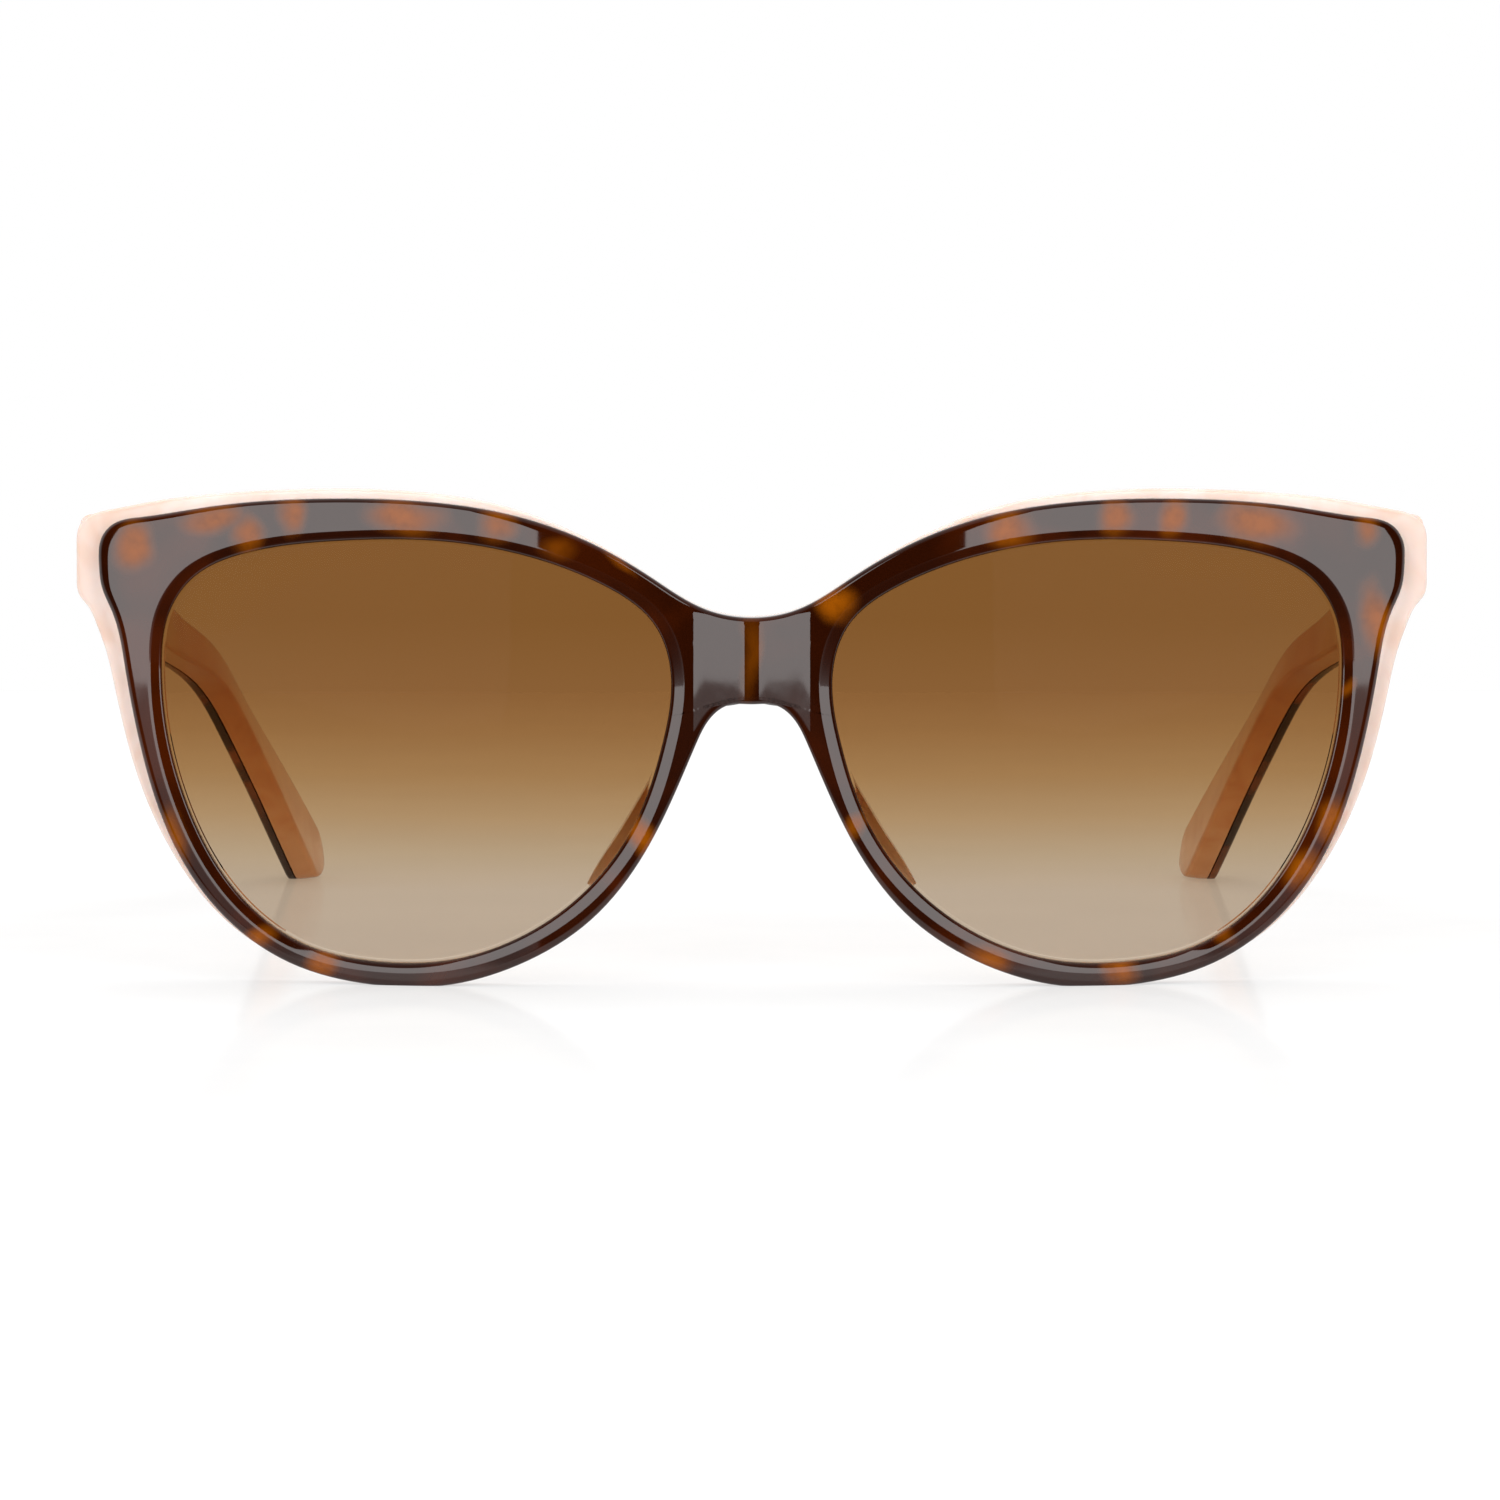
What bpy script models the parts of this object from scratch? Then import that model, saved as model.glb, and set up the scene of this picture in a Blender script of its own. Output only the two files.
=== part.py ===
"""Cat eye sunglasses: a laminated acetate front, two lenses and two folding temples.

Lengths are in millimetres until a mesh is written, and +X is the wearer's left. The front faces -Y,
the temples run towards +Y, and the sunglasses stand on z = 0 on their rims and temple tips.
Depths are counted back from the foremost point of the bridge.
"""

import math

import bmesh
import bpy
import numpy as np
from mathutils import Matrix, Vector

MM = 0.001
SIDES = ((1, "left"), (-1, "right"))    # sign of x, and the word in the pieces' names

# ---- driving dimensions -------------------------------------------------------------------------
BRIDGE_FRONT_Y = -71.3      # where the foremost point of the bridge stands in the part's own frame
FACE_RADIUS = 240.0         # face curve of the whole front, seen from above
BRIDGE_RISE = 1.2           # how far the bridge stands out in front of the rims
BRIDGE_RISE_TOP = 7.3       # half width of that raised part, at the top and at the bottom
BRIDGE_RISE_BOTTOM = 6.2
BRIDGE_RAMP = 0.2           # share of that half width in which the slope begins, and in which it ends
BRIDGE_TOP_Z, BRIDGE_BOTTOM_Z = 39.6, 30.3
LAYER_GAP = 0.15            # between pieces that are bonded, or lie on each other

TORTOISE_THICK = 2.1
PEACH_FRONT = TORTOISE_THICK + LAYER_GAP
FRONT_THICK = 4.4
EDGE_BEVEL = 0.45           # bevel round the tortoise face
EDGE_BEVEL_DEPTH = 0.35
LENS_BEVEL = 0.9            # wider bevel down to the lens
LENS_BEVEL_SIDES = 0.5      # how much wider it gets towards the lens opening's left and right
LENS_BEVEL_DEPTH = 0.42
PEACH_ROUND = 0.45
GROOVE_DEPTH = 0.95         # V groove that holds the lens, half of it in each layer

LENS_CENTRE = Vector((36.0, 25.0))
LENS_EDGE = 0.62            # how far the lens runs into the groove
LENS_THICK = 1.75
LENS_BULGE = 0.9

SEAT_Y = 17.0               # back of the end piece, where the temple butts
LUG_INNER, LUG_OUTER = 62.2, 72.4
LUG_BOTTOM, LUG_TOP = 41.0, 49.9
LUG_CORNER, LUG_BEVEL = 1.0, 0.4

HINGE_X, HINGE_Y, HINGE_Z = 66.5, SEAT_Y + 1.7, 45.3
KNUCKLE_RADIUS, KNUCKLE_BORE = 1.5, 0.75
KNUCKLE_TALL, KNUCKLE_GAP, KNUCKLES = 1.24, 0.10, 5
LEAF_THICK = 0.9
LEAF_TALL = 6.4
FRONT_LEAF_X = (62.9, 67.3)
FRONT_WEB_X = (HINGE_X - 1.35, HINGE_X + 0.35)
FRONT_WEB_OVERLAP = 0.4     # how far a web runs into its plate
TEMPLE_LEAF_TALL = 4.6
TEMPLE_LEAF_LENGTH = 7.5
TEMPLE_LEAF_START = 0.5     # behind the temple's butt face
TEMPLE_LEAF_SUNK = 0.03     # under the temple's inner face
TEMPLE_WEB_Y = (HINGE_Y - 0.95, HINGE_Y + 0.75)
SCREW_RADIUS, SCREW_HEAD_RADIUS, SCREW_HEAD_TALL = 0.70, 1.15, 0.55
SCREW_FOOT = 0.2            # how far its lower end stays inside the lowest knuckle
SLOT_WIDE, SLOT_DEEP = 0.35, 0.3
CUTTER = 2.0                # how far a cutter runs past what it cuts
POCKET_PLAY = 0.12          # round a leaf that is sunk in acetate

TEMPLE_START_Y = SEAT_Y + 0.15
TEMPLE_THICK = 4.0
TEMPLE_OUTER_LAYER = 1.05
TEMPLE_EDGE_BEVEL = 0.5
CORE_RADIUS = 0.55
CORE_START, CORE_END = 0.06, 0.93   # shares of the temple's length

PAD_FLARE = 0.05            # sideways lean of a nose pad, for each millimetre back

# ---- outlines, right half, from the middle of the bridge over the brow and back under the rim -----
TORTOISE_OUTLINE = [
    (0.0, 39.5), (4.8, 40.3), (10.5, 43.6), (17.6, 47.6), (26.0, 50.4), (36.0, 51.75), (46.0, 51.9),
    (57.7, 51.0), (65.6, 49.75), (68.5, 49.0), (69.8, 47.5), (70.1, 44.6), (69.8, 42.2), (68.7, 39.6),
    (67.3, 33.6), (65.7, 25.4), (62.65, 15.9), (57.35, 7.8), (49.5, 2.2), (40.5, 0.0), (33.0, 0.0),
    (24.9, 2.3), (17.1, 7.2), (11.3, 14.5), (8.0, 21.1), (5.9, 26.0), (4.0, 29.2), (2.4, 30.2),
    (0.0, 30.3),
]
PEACH_OUTLINE = [
    (0.0, 39.5), (4.8, 40.3), (10.5, 43.6), (17.6, 47.75), (26.0, 51.05), (36.0, 52.65), (46.0, 52.9),
    (55.0, 52.45), (63.6, 51.5), (69.0, 50.45), (71.2, 49.8), (72.4, 48.7), (72.75, 46.6), (72.75, 43.3),
    (72.5, 41.3), (71.5, 40.0), (70.7, 38.4), (69.6, 35.4), (68.5, 30.8), (66.4, 22.6), (62.1, 13.2),
    (56.4, 6.3), (49.2, 1.95), (40.5, 0.0), (33.0, 0.0), (24.9, 2.3), (17.1, 7.2), (11.3, 14.5),
    (8.0, 21.1), (5.9, 26.0), (4.0, 29.2), (2.4, 30.2), (0.0, 30.3),
]
LENS_OPENING = [
    (63.25, 33.8), (62.6, 39.0), (59.9, 43.2), (53.5, 46.15), (44.0, 47.4), (34.0, 47.5), (24.3, 46.0),
    (15.7, 42.8), (10.3, 38.6), (8.6, 33.3), (9.5, 26.0), (12.5, 17.4), (17.6, 10.4), (24.3, 5.5),
    (32.0, 2.8), (40.1, 2.5), (48.1, 4.3), (55.2, 9.7), (60.5, 18.9), (62.8, 27.5),
]

# ---- temple stations: depth, inner face x, middle z, height, lean of the section in degrees --------
TEMPLE_STATIONS = [
    (TEMPLE_START_Y, 68.2, 45.5, 7.6, 0.0),
    (35.0, 68.2, 42.6, 7.4, 0.0),
    (55.0, 68.0, 39.0, 6.7, 0.0),
    (73.0, 67.3, 35.2, 5.6, 1.0),
    (85.0, 65.8, 32.5, 4.8, 5.0),
    (94.0, 63.9, 30.2, 4.5, 10.0),
    (102.0, 62.3, 27.1, 4.6, 14.0),
    (112.0, 60.3, 21.4, 5.2, 16.0),
    (122.0, 58.1, 15.2, 6.2, 14.0),
    (131.0, 55.9, 9.0, 7.0, 11.0),
    (137.8, 54.0, 3.72, 7.0, 8.0),
]
TIP_ANGLES = (25, 48, 68, 84)       # sections that round the tip, in degrees of its half circle


# ---- curves -----------------------------------------------------------------------------------------
def smooth_loop(points, steps):
    """Points on the closed cubic spline through the given ones, each span cut in so many steps."""
    knots = np.array(points, float)
    count = len(knots)
    after = np.roll(knots, -1, axis=0)
    span = np.linalg.norm(after - knots, axis=1)
    before = np.roll(span, 1)
    system = np.zeros((count, count))
    for i in range(count):
        system[i, i - 1] = before[i]
        system[i, i] = 2 * (before[i] + span[i])
        system[i, (i + 1) % count] = span[i]
    slope = (after - knots) / span[:, None]
    bend = np.linalg.solve(system, 6 * (slope - np.roll(slope, 1, axis=0)))
    found = []
    for i in range(count):
        bend_after = bend[(i + 1) % count]
        for t in np.arange(steps) / steps:
            rest = 1 - t
            cubic = (rest**3 - rest) * bend[i] + (t**3 - t) * bend_after
            found.append(Vector(rest * knots[i] + t * after[i] + span[i] ** 2 / 6 * cubic))
    return found


def smooth_path(rows, steps):
    """Rows on the natural cubic spline through the given ones, spaced by their first column."""
    knots = np.array(rows, float)
    where = knots[:, 0]
    step = np.diff(where)
    count = len(knots)
    system = np.eye(count)
    pull = np.zeros_like(knots)
    slope = np.diff(knots, axis=0) / step[:, None]
    for i in range(1, count - 1):
        system[i, i - 1], system[i, i + 1] = step[i - 1], step[i]
        system[i, i] = 2 * (step[i - 1] + step[i])
        pull[i] = 6 * (slope[i] - slope[i - 1])
    bend = np.linalg.solve(system, pull)
    found = []
    for i in range(count - 1):
        for t in np.arange(steps + (i == count - 2)) / steps:
            rest = 1 - t
            cubic = (rest**3 - rest) * bend[i] + (t**3 - t) * bend[i + 1]
            found.append(rest * knots[i] + t * knots[i + 1] + step[i] ** 2 / 6 * cubic)
    return found


def whole_outline(half):
    """The outline of both halves, from the half on the wearer's left."""
    return half + [(-x, z) for x, z in reversed(half[1:-1])]


def face_sag(x):
    return FACE_RADIUS - math.sqrt(FACE_RADIUS**2 - x * x)


def bridge_rise(x, z):
    """How far the face stands out at the bridge, fading to nothing at the rims."""
    share = min(max((z - BRIDGE_BOTTOM_Z) / (BRIDGE_TOP_Z - BRIDGE_BOTTOM_Z), 0.0), 1.0)
    half_width = BRIDGE_RISE_BOTTOM + share * (BRIDGE_RISE_TOP - BRIDGE_RISE_BOTTOM)
    u = abs(x) / half_width
    if u >= 1:
        return 0.0
    slope = 1 / (1 - BRIDGE_RAMP)
    if u < BRIDGE_RAMP:
        fallen = slope * u * u / (2 * BRIDGE_RAMP)
    elif u < 1 - BRIDGE_RAMP:
        fallen = slope * (u - BRIDGE_RAMP / 2)
    else:
        fallen = 1 - slope * (1 - u) ** 2 / (2 * BRIDGE_RAMP)
    return BRIDGE_RISE * (1 - fallen)


def face_point(flat, depth):
    """A point so far behind the tortoise face."""
    x, z = flat
    return Vector((x, face_sag(x) + BRIDGE_RISE - bridge_rise(x, z) + depth, z))


def body_point(flat, depth):
    """A point so far behind the rims' face, with no rise at the bridge."""
    x, z = flat
    return Vector((x, face_sag(x) + BRIDGE_RISE + depth, z))


# ---- meshes and objects ------------------------------------------------------------------------------
class Rims:
    """The samples round one rim: its outer outline, and the lens opening facing each sample."""

    BRIDGE_STEPS = 4

    def __init__(self, half, steps):
        whole = smooth_loop(whole_outline(half), steps)
        last = (len(half) - 1) * steps
        self.outer = whole[: last + 1]
        self.outward = []
        for i in range(last + 1):
            along = whole[(i + 1) % len(whole)] - whole[i - 1]
            self.outward.append(Vector((-along.y, along.x)).normalized())
        top, bottom = self.outer[0], self.outer[-1]
        for i in range(1, self.BRIDGE_STEPS):
            self.outer.append(bottom.lerp(top, i / self.BRIDGE_STEPS))
            self.outward.append(Vector((0.0, 0.0)))
        opening = smooth_loop(LENS_OPENING, 12)
        self.rays = [(point - LENS_CENTRE).normalized() for point in self.outer]
        self.opening = [reach(opening, ray) for ray in self.rays]

    def inset(self, i, by):
        return self.outer[i] - by * self.outward[i]

    def from_lens(self, i, out):
        return LENS_CENTRE + (self.opening[i] + out) * self.rays[i]

    def __len__(self):
        return len(self.outer)


def reach(loop, ray):
    """How far a ray from the lens centre runs before it crosses the loop."""
    best = 0.0
    for a, b in zip(loop, loop[1:] + loop[:1]):
        start, along = a - LENS_CENTRE, b - a
        cross = ray.x * along.y - ray.y * along.x
        if abs(cross) < 1e-12:
            continue
        t = (start.x * along.y - start.y * along.x) / cross
        u = (start.x * ray.y - start.y * ray.x) / cross
        if t > 0 and -1e-9 <= u <= 1 + 1e-9:
            best = max(best, t)
    return best


def loft(mesh, sections, ring=False):
    """Joins sections with the same number of points, in a ring or capped at both ends."""
    rows = [[mesh.verts.new(point) for point in section] for section in sections]
    pairs = list(zip(rows, rows[1:]))
    if ring:
        pairs.append((rows[-1], rows[0]))
    for row, following in pairs:
        for i in range(len(row)):
            j = (i + 1) % len(row)
            mesh.faces.new((row[i], following[i], following[j], row[j]))
    if not ring:
        mesh.faces.new(rows[0])
        mesh.faces.new(list(reversed(rows[-1])))
    return rows


def mirror_at_bridge(mesh):
    """Opens the half at x = 0 and adds its mirror image there."""
    middle = [face for face in mesh.faces if all(abs(v.co.x) < 1e-6 for v in face.verts)]
    bmesh.ops.delete(mesh, geom=middle, context="FACES_ONLY")
    loose = [edge for edge in mesh.edges if not edge.link_faces]
    bmesh.ops.delete(mesh, geom=loose, context="EDGES")
    everything = mesh.verts[:] + mesh.edges[:] + mesh.faces[:]
    bmesh.ops.mirror(mesh, geom=everything, matrix=Matrix(), merge_dist=1e-4, axis="X")


def stand_flat(mesh):
    """Cuts the lowest sliver off, so that the piece rests on a flat face at z = 0."""
    everything = mesh.verts[:] + mesh.edges[:] + mesh.faces[:]
    cut = bmesh.ops.bisect_plane(
        mesh, geom=everything, plane_co=(0, 0, 0), plane_no=(0, 0, 1), clear_inner=True
    )
    rim = [item for item in cut["geom_cut"] if isinstance(item, bmesh.types.BMEdge)]
    bmesh.ops.contextual_create(mesh, geom=rim)


def box(mesh, low, high):
    corners = Matrix.Diagonal((high[0] - low[0], high[1] - low[1], high[2] - low[2], 1))
    centre = Matrix.Translation([(a + b) / 2 for a, b in zip(low, high)])
    return bmesh.ops.create_cube(mesh, size=1, matrix=centre @ corners)["verts"]


def upright_cylinder(mesh, radius, low, high, sides=20):
    place = Matrix.Translation((HINGE_X, HINGE_Y, (low + high) / 2))
    return bmesh.ops.create_cone(
        mesh, cap_ends=True, segments=sides, radius1=radius, radius2=radius, depth=high - low, matrix=place
    )["verts"]


def material(name, colour, roughness, metallic=0.0, transmission=0.0):
    made = bpy.data.materials.new(name)
    made.use_nodes = True
    shader = made.node_tree.nodes["Principled BSDF"]
    shader.inputs["Base Color"].default_value = (*colour, 1)
    shader.inputs["Roughness"].default_value = roughness
    shader.inputs["Metallic"].default_value = metallic
    shader.inputs["Transmission Weight"].default_value = transmission
    made.diffuse_color = (*colour, 1)
    return made


def tortoise(name):
    return material(name, (0.08, 0.025, 0.008), 0.12)


def peach(name):
    return material(name, (0.9, 0.62, 0.45), 0.2)


def steel(name):
    return material(name, (0.7, 0.7, 0.72), 0.3, metallic=1.0)


def lens_brown(name):
    return material(name, (0.35, 0.18, 0.07), 0.05, transmission=0.9)


def finish(name, mesh, look, side=1, parent=None):
    """Writes the mesh in metres as an object, mirrored for the wearer's right, on its parent's origin."""
    bmesh.ops.recalc_face_normals(mesh, faces=mesh.faces)
    origin = parent.location if parent else Vector((0, 0, 0))
    for vertex in mesh.verts:
        x, y, z = vertex.co
        vertex.co = Vector((side * x, y + BRIDGE_FRONT_Y, z)) * MM - origin
    if side < 0:
        bmesh.ops.reverse_faces(mesh, faces=mesh.faces)
    data = bpy.data.meshes.new(name)
    mesh.to_mesh(data)
    mesh.free()
    data.materials.append(look(name))
    data.shade_smooth()
    data.set_sharp_from_angle(angle=math.radians(30))
    made = bpy.data.objects.new(name, data)
    made.parent = parent
    bpy.context.scene.collection.objects.link(made)
    return made


def helper(name, build, side=1, parent=None):
    """A hidden solid that a Boolean joins to a piece, or cuts from it."""
    mesh = bmesh.new()
    build(mesh)
    made = finish(name, mesh, steel, side, parent)
    made.hide_render = True
    made.display_type = "WIRE"
    return made


def boolean(piece, operation, other):
    modifier = piece.modifiers.new(other.name, "BOOLEAN")
    modifier.operation = operation
    modifier.solver = "EXACT"
    modifier.object = other


# ---- front ---------------------------------------------------------------------------------------------
def front_tortoise_layer():
    rims = Rims(TORTOISE_OUTLINE, 2)
    mesh = bmesh.new()
    sections = []
    for i in range(len(rims)):
        outer, face_outer = rims.outer[i], rims.inset(i, EDGE_BEVEL)
        face_inner = rims.from_lens(i, LENS_BEVEL + LENS_BEVEL_SIDES * rims.rays[i].x ** 2)
        opening, groove = rims.from_lens(i, 0), rims.from_lens(i, GROOVE_DEPTH)
        sections.append([
            face_point(face_outer, 0),
            face_point(outer, EDGE_BEVEL_DEPTH),
            body_point(outer, TORTOISE_THICK),
            body_point(groove, TORTOISE_THICK),
            body_point(opening, TORTOISE_THICK - GROOVE_DEPTH),
            face_point(opening, LENS_BEVEL_DEPTH),
            face_point(face_inner, 0),
            face_point(face_outer.lerp(face_inner, 2 / 3), 0),
            face_point(face_outer.lerp(face_inner, 1 / 3), 0),
        ])
    loft(mesh, sections, ring=True)
    mirror_at_bridge(mesh)
    stand_flat(mesh)
    finish("front_tortoise_layer", mesh, tortoise)


def front_peach_layer():
    rims = Rims(PEACH_OUTLINE, 2)
    mesh = bmesh.new()
    sections = []
    for i in range(len(rims)):
        outer, rounded = rims.outer[i], rims.inset(i, PEACH_ROUND)
        opening, groove = rims.from_lens(i, 0), rims.from_lens(i, GROOVE_DEPTH)
        sections.append([
            body_point(rounded, PEACH_FRONT),
            body_point(outer, PEACH_FRONT + PEACH_ROUND),
            body_point(outer, FRONT_THICK - PEACH_ROUND),
            body_point(rounded, FRONT_THICK),
            body_point(rims.from_lens(i, PEACH_ROUND), FRONT_THICK),
            body_point(opening, FRONT_THICK - PEACH_ROUND),
            body_point(opening, PEACH_FRONT + GROOVE_DEPTH),
            body_point(groove, PEACH_FRONT),
        ])
    loft(mesh, sections, ring=True)
    mirror_at_bridge(mesh)
    stand_flat(mesh)
    front = finish("front_peach_layer", mesh, peach)
    for side, word in SIDES:
        boolean(front, "UNION", helper(f"end_piece_{word}", end_piece, side))
        boolean(front, "DIFFERENCE", helper(f"front_leaf_pocket_{word}", front_leaf_pocket, side))


def end_piece(mesh):
    """The thick block that carries the hinge, rising out of the layer's back."""
    def outline(grow):
        low_x, high_x = LUG_INNER - grow, LUG_OUTER + grow
        low_z, high_z = LUG_BOTTOM - grow, LUG_TOP + grow
        cut = LUG_CORNER
        return [
            (low_x, low_z + cut), (low_x + cut, low_z), (high_x - cut, low_z), (high_x, low_z + cut),
            (high_x, high_z - cut), (high_x - cut, high_z), (low_x + cut, high_z), (low_x, high_z - cut),
        ]

    inside_layer = PEACH_FRONT + (FRONT_THICK - PEACH_FRONT) / 2
    loft(mesh, [
        [body_point(corner, inside_layer) for corner in outline(0)],
        [Vector((x, SEAT_Y - LUG_BEVEL, z)) for x, z in outline(0)],
        [Vector((x, SEAT_Y, z)) for x, z in outline(-LUG_BEVEL)],
    ])


def front_leaf_pocket(mesh):
    half = LEAF_TALL / 2 + POCKET_PLAY
    floor = SEAT_Y - LEAF_THICK - POCKET_PLAY
    box(
        mesh,
        (FRONT_LEAF_X[0] - POCKET_PLAY, floor, HINGE_Z - half),
        (FRONT_LEAF_X[1] + POCKET_PLAY, SEAT_Y + CUTTER, HINGE_Z + half),
    )


def lens(side, word):
    """A lens that bulges forwards, with the V edge that sits in the groove."""
    mesh = bmesh.new()
    middle = TORTOISE_THICK + LAYER_GAP / 2
    samples = 56
    opening = smooth_loop(LENS_OPENING, 12)
    rays = [Vector((math.cos(a), math.sin(a))) for a in (2 * math.pi * i / samples for i in range(samples))]
    reaches = [reach(opening, ray) for ray in rays]

    def ring(share, depth, out=-0.2):
        bulge = LENS_BULGE * (1 - share * share)
        return [
            mesh.verts.new(body_point(LENS_CENTRE + share * (length + out) * ray, depth - bulge))
            for ray, length in zip(rays, reaches)
        ]

    def side_of(depth):
        centre = mesh.verts.new(body_point(LENS_CENTRE, depth - LENS_BULGE))
        rings = [ring(share, depth) for share in (0.35, 0.7, 1.0)]
        for i in range(samples):
            mesh.faces.new((centre, rings[0][i - 1], rings[0][i]))
        for a, b in zip(rings, rings[1:]):
            band(a, b)
        return rings[-1]

    def band(a, b):
        for i in range(samples):
            mesh.faces.new((a[i - 1], a[i], b[i], b[i - 1]))

    front = side_of(middle - LENS_THICK / 2)
    back = side_of(middle + LENS_THICK / 2)
    edge = ring(1.0, middle, LENS_EDGE)
    band(front, edge)
    band(edge, back)
    finish(f"lens_{word}", mesh, lens_brown, side)


def nose_pad(side, word):
    """A pad bonded behind the rim, thickest in its middle and flared like the nose."""
    mesh = bmesh.new()
    # Down the nose: nose edge and lens edge of the foot, then how far the pad stands back.
    rows = smooth_path([
        (0.0, 6.0, 27.4, 9.1, 28.2, 0.6), (3.0, 7.1, 24.6, 9.7, 25.2, 3.0),
        (6.5, 8.6, 21.2, 10.9, 22.0, 5.2), (10.0, 10.3, 18.0, 12.6, 19.0, 6.2),
        (13.5, 12.2, 15.0, 14.3, 16.2, 5.6), (17.0, 14.3, 12.1, 16.2, 13.3, 3.4),
        (20.0, 16.4, 9.8, 17.6, 10.8, 0.6),
    ], 2)
    base = FRONT_THICK + LAYER_GAP
    sections = []
    for _, nose_x, nose_z, lens_x, lens_z, stand in rows:
        nose, glass = Vector((nose_x, nose_z)), Vector((lens_x, lens_z))
        across = glass - nose
        profile = (
            (0.08, 0.0), (0.0, 0.08), (0.12, 0.55), (0.3, 0.92), (0.48, 1.0), (0.72, 0.92), (0.92, 0.55),
            (1.0, 0.08), (0.92, 0.0),
        )
        flare = Vector((PAD_FLARE * stand, 0.0))
        sections.append([
            body_point(nose + across * share + flare * deep, base + stand * deep) for share, deep in profile
        ])
    loft(mesh, sections)
    finish(f"nose_pad_{word}", mesh, peach, side)


# ---- hinges --------------------------------------------------------------------------------------------
def knuckle_span(number):
    """Lowest and highest z of a knuckle, counted from the bottom."""
    tall = KNUCKLES * KNUCKLE_TALL + (KNUCKLES - 1) * KNUCKLE_GAP
    low = HINGE_Z - tall / 2 + number * (KNUCKLE_TALL + KNUCKLE_GAP)
    return low, low + KNUCKLE_TALL


def hinge_bore(mesh):
    upright_cylinder(mesh, KNUCKLE_BORE, HINGE_Z - LEAF_TALL, HINGE_Z + LEAF_TALL, 16)


def knuckle(number):
    def build(mesh):
        upright_cylinder(mesh, KNUCKLE_RADIUS, *knuckle_span(number))
    return build


def hinge_leaf(name, plate, web, numbers, side, parent):
    """A plate, and a web from it to each of its knuckles, with the screw's bore through them."""
    mesh = bmesh.new()
    box(mesh, *plate)
    leaf = finish(name, mesh, steel, side, parent)
    for number in numbers:
        low, high = knuckle_span(number)

        def web_of_knuckle(mesh):
            box(mesh, (web[0][0], web[0][1], low), (web[1][0], web[1][1], high))

        boolean(leaf, "UNION", helper(f"{name}_web_{number}", web_of_knuckle, side, parent))
        boolean(leaf, "UNION", helper(f"{name}_knuckle_{number}", knuckle(number), side, parent))
    boolean(leaf, "DIFFERENCE", helper(f"{name}_bore", hinge_bore, side, parent))


def hinge_front_leaf(side, word):
    half = LEAF_TALL / 2
    plate = (
        (FRONT_LEAF_X[0], SEAT_Y - LEAF_THICK, HINGE_Z - half),
        (FRONT_LEAF_X[1], SEAT_Y, HINGE_Z + half),
    )
    web = ((FRONT_WEB_X[0], SEAT_Y - FRONT_WEB_OVERLAP), (FRONT_WEB_X[1], HINGE_Y - 0.3))
    hinge_leaf(f"hinge_front_leaf_{word}", plate, web, (0, 2, 4), side, None)


def hinge_temple_leaf(side, word, pivot):
    half = TEMPLE_LEAF_TALL / 2
    inner = TEMPLE_STATIONS[0][1] + TEMPLE_LEAF_SUNK
    start = TEMPLE_START_Y + TEMPLE_LEAF_START
    plate = (
        (inner, start, HINGE_Z - half),
        (inner + LEAF_THICK, start + TEMPLE_LEAF_LENGTH, HINGE_Z + half),
    )
    web = ((HINGE_X + 0.3, TEMPLE_WEB_Y[0]), (inner + LEAF_THICK / 2, TEMPLE_WEB_Y[1]))
    hinge_leaf(f"hinge_temple_leaf_{word}", plate, web, (1, 3), side, pivot)


def hinge_screw(side, word):
    """The screw that pins the knuckles, with its slotted head on top."""
    top = knuckle_span(KNUCKLES - 1)[1] + KNUCKLE_GAP
    bottom = knuckle_span(0)[0] + SCREW_FOOT
    mesh = bmesh.new()
    upright_cylinder(mesh, SCREW_RADIUS, bottom, top + SCREW_HEAD_TALL / 2, 16)
    screw = finish(f"hinge_screw_{word}", mesh, steel, side)

    def head(mesh):
        upright_cylinder(mesh, SCREW_HEAD_RADIUS, top, top + SCREW_HEAD_TALL)

    def slot(mesh):
        low = (HINGE_X - CUTTER, HINGE_Y - SLOT_WIDE / 2, top + SCREW_HEAD_TALL - SLOT_DEEP)
        box(mesh, low, (HINGE_X + CUTTER, HINGE_Y + SLOT_WIDE / 2, top + CUTTER))

    boolean(screw, "UNION", helper(f"screw_head_{word}", head, side))
    boolean(screw, "DIFFERENCE", helper(f"screw_slot_{word}", slot, side))


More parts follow.
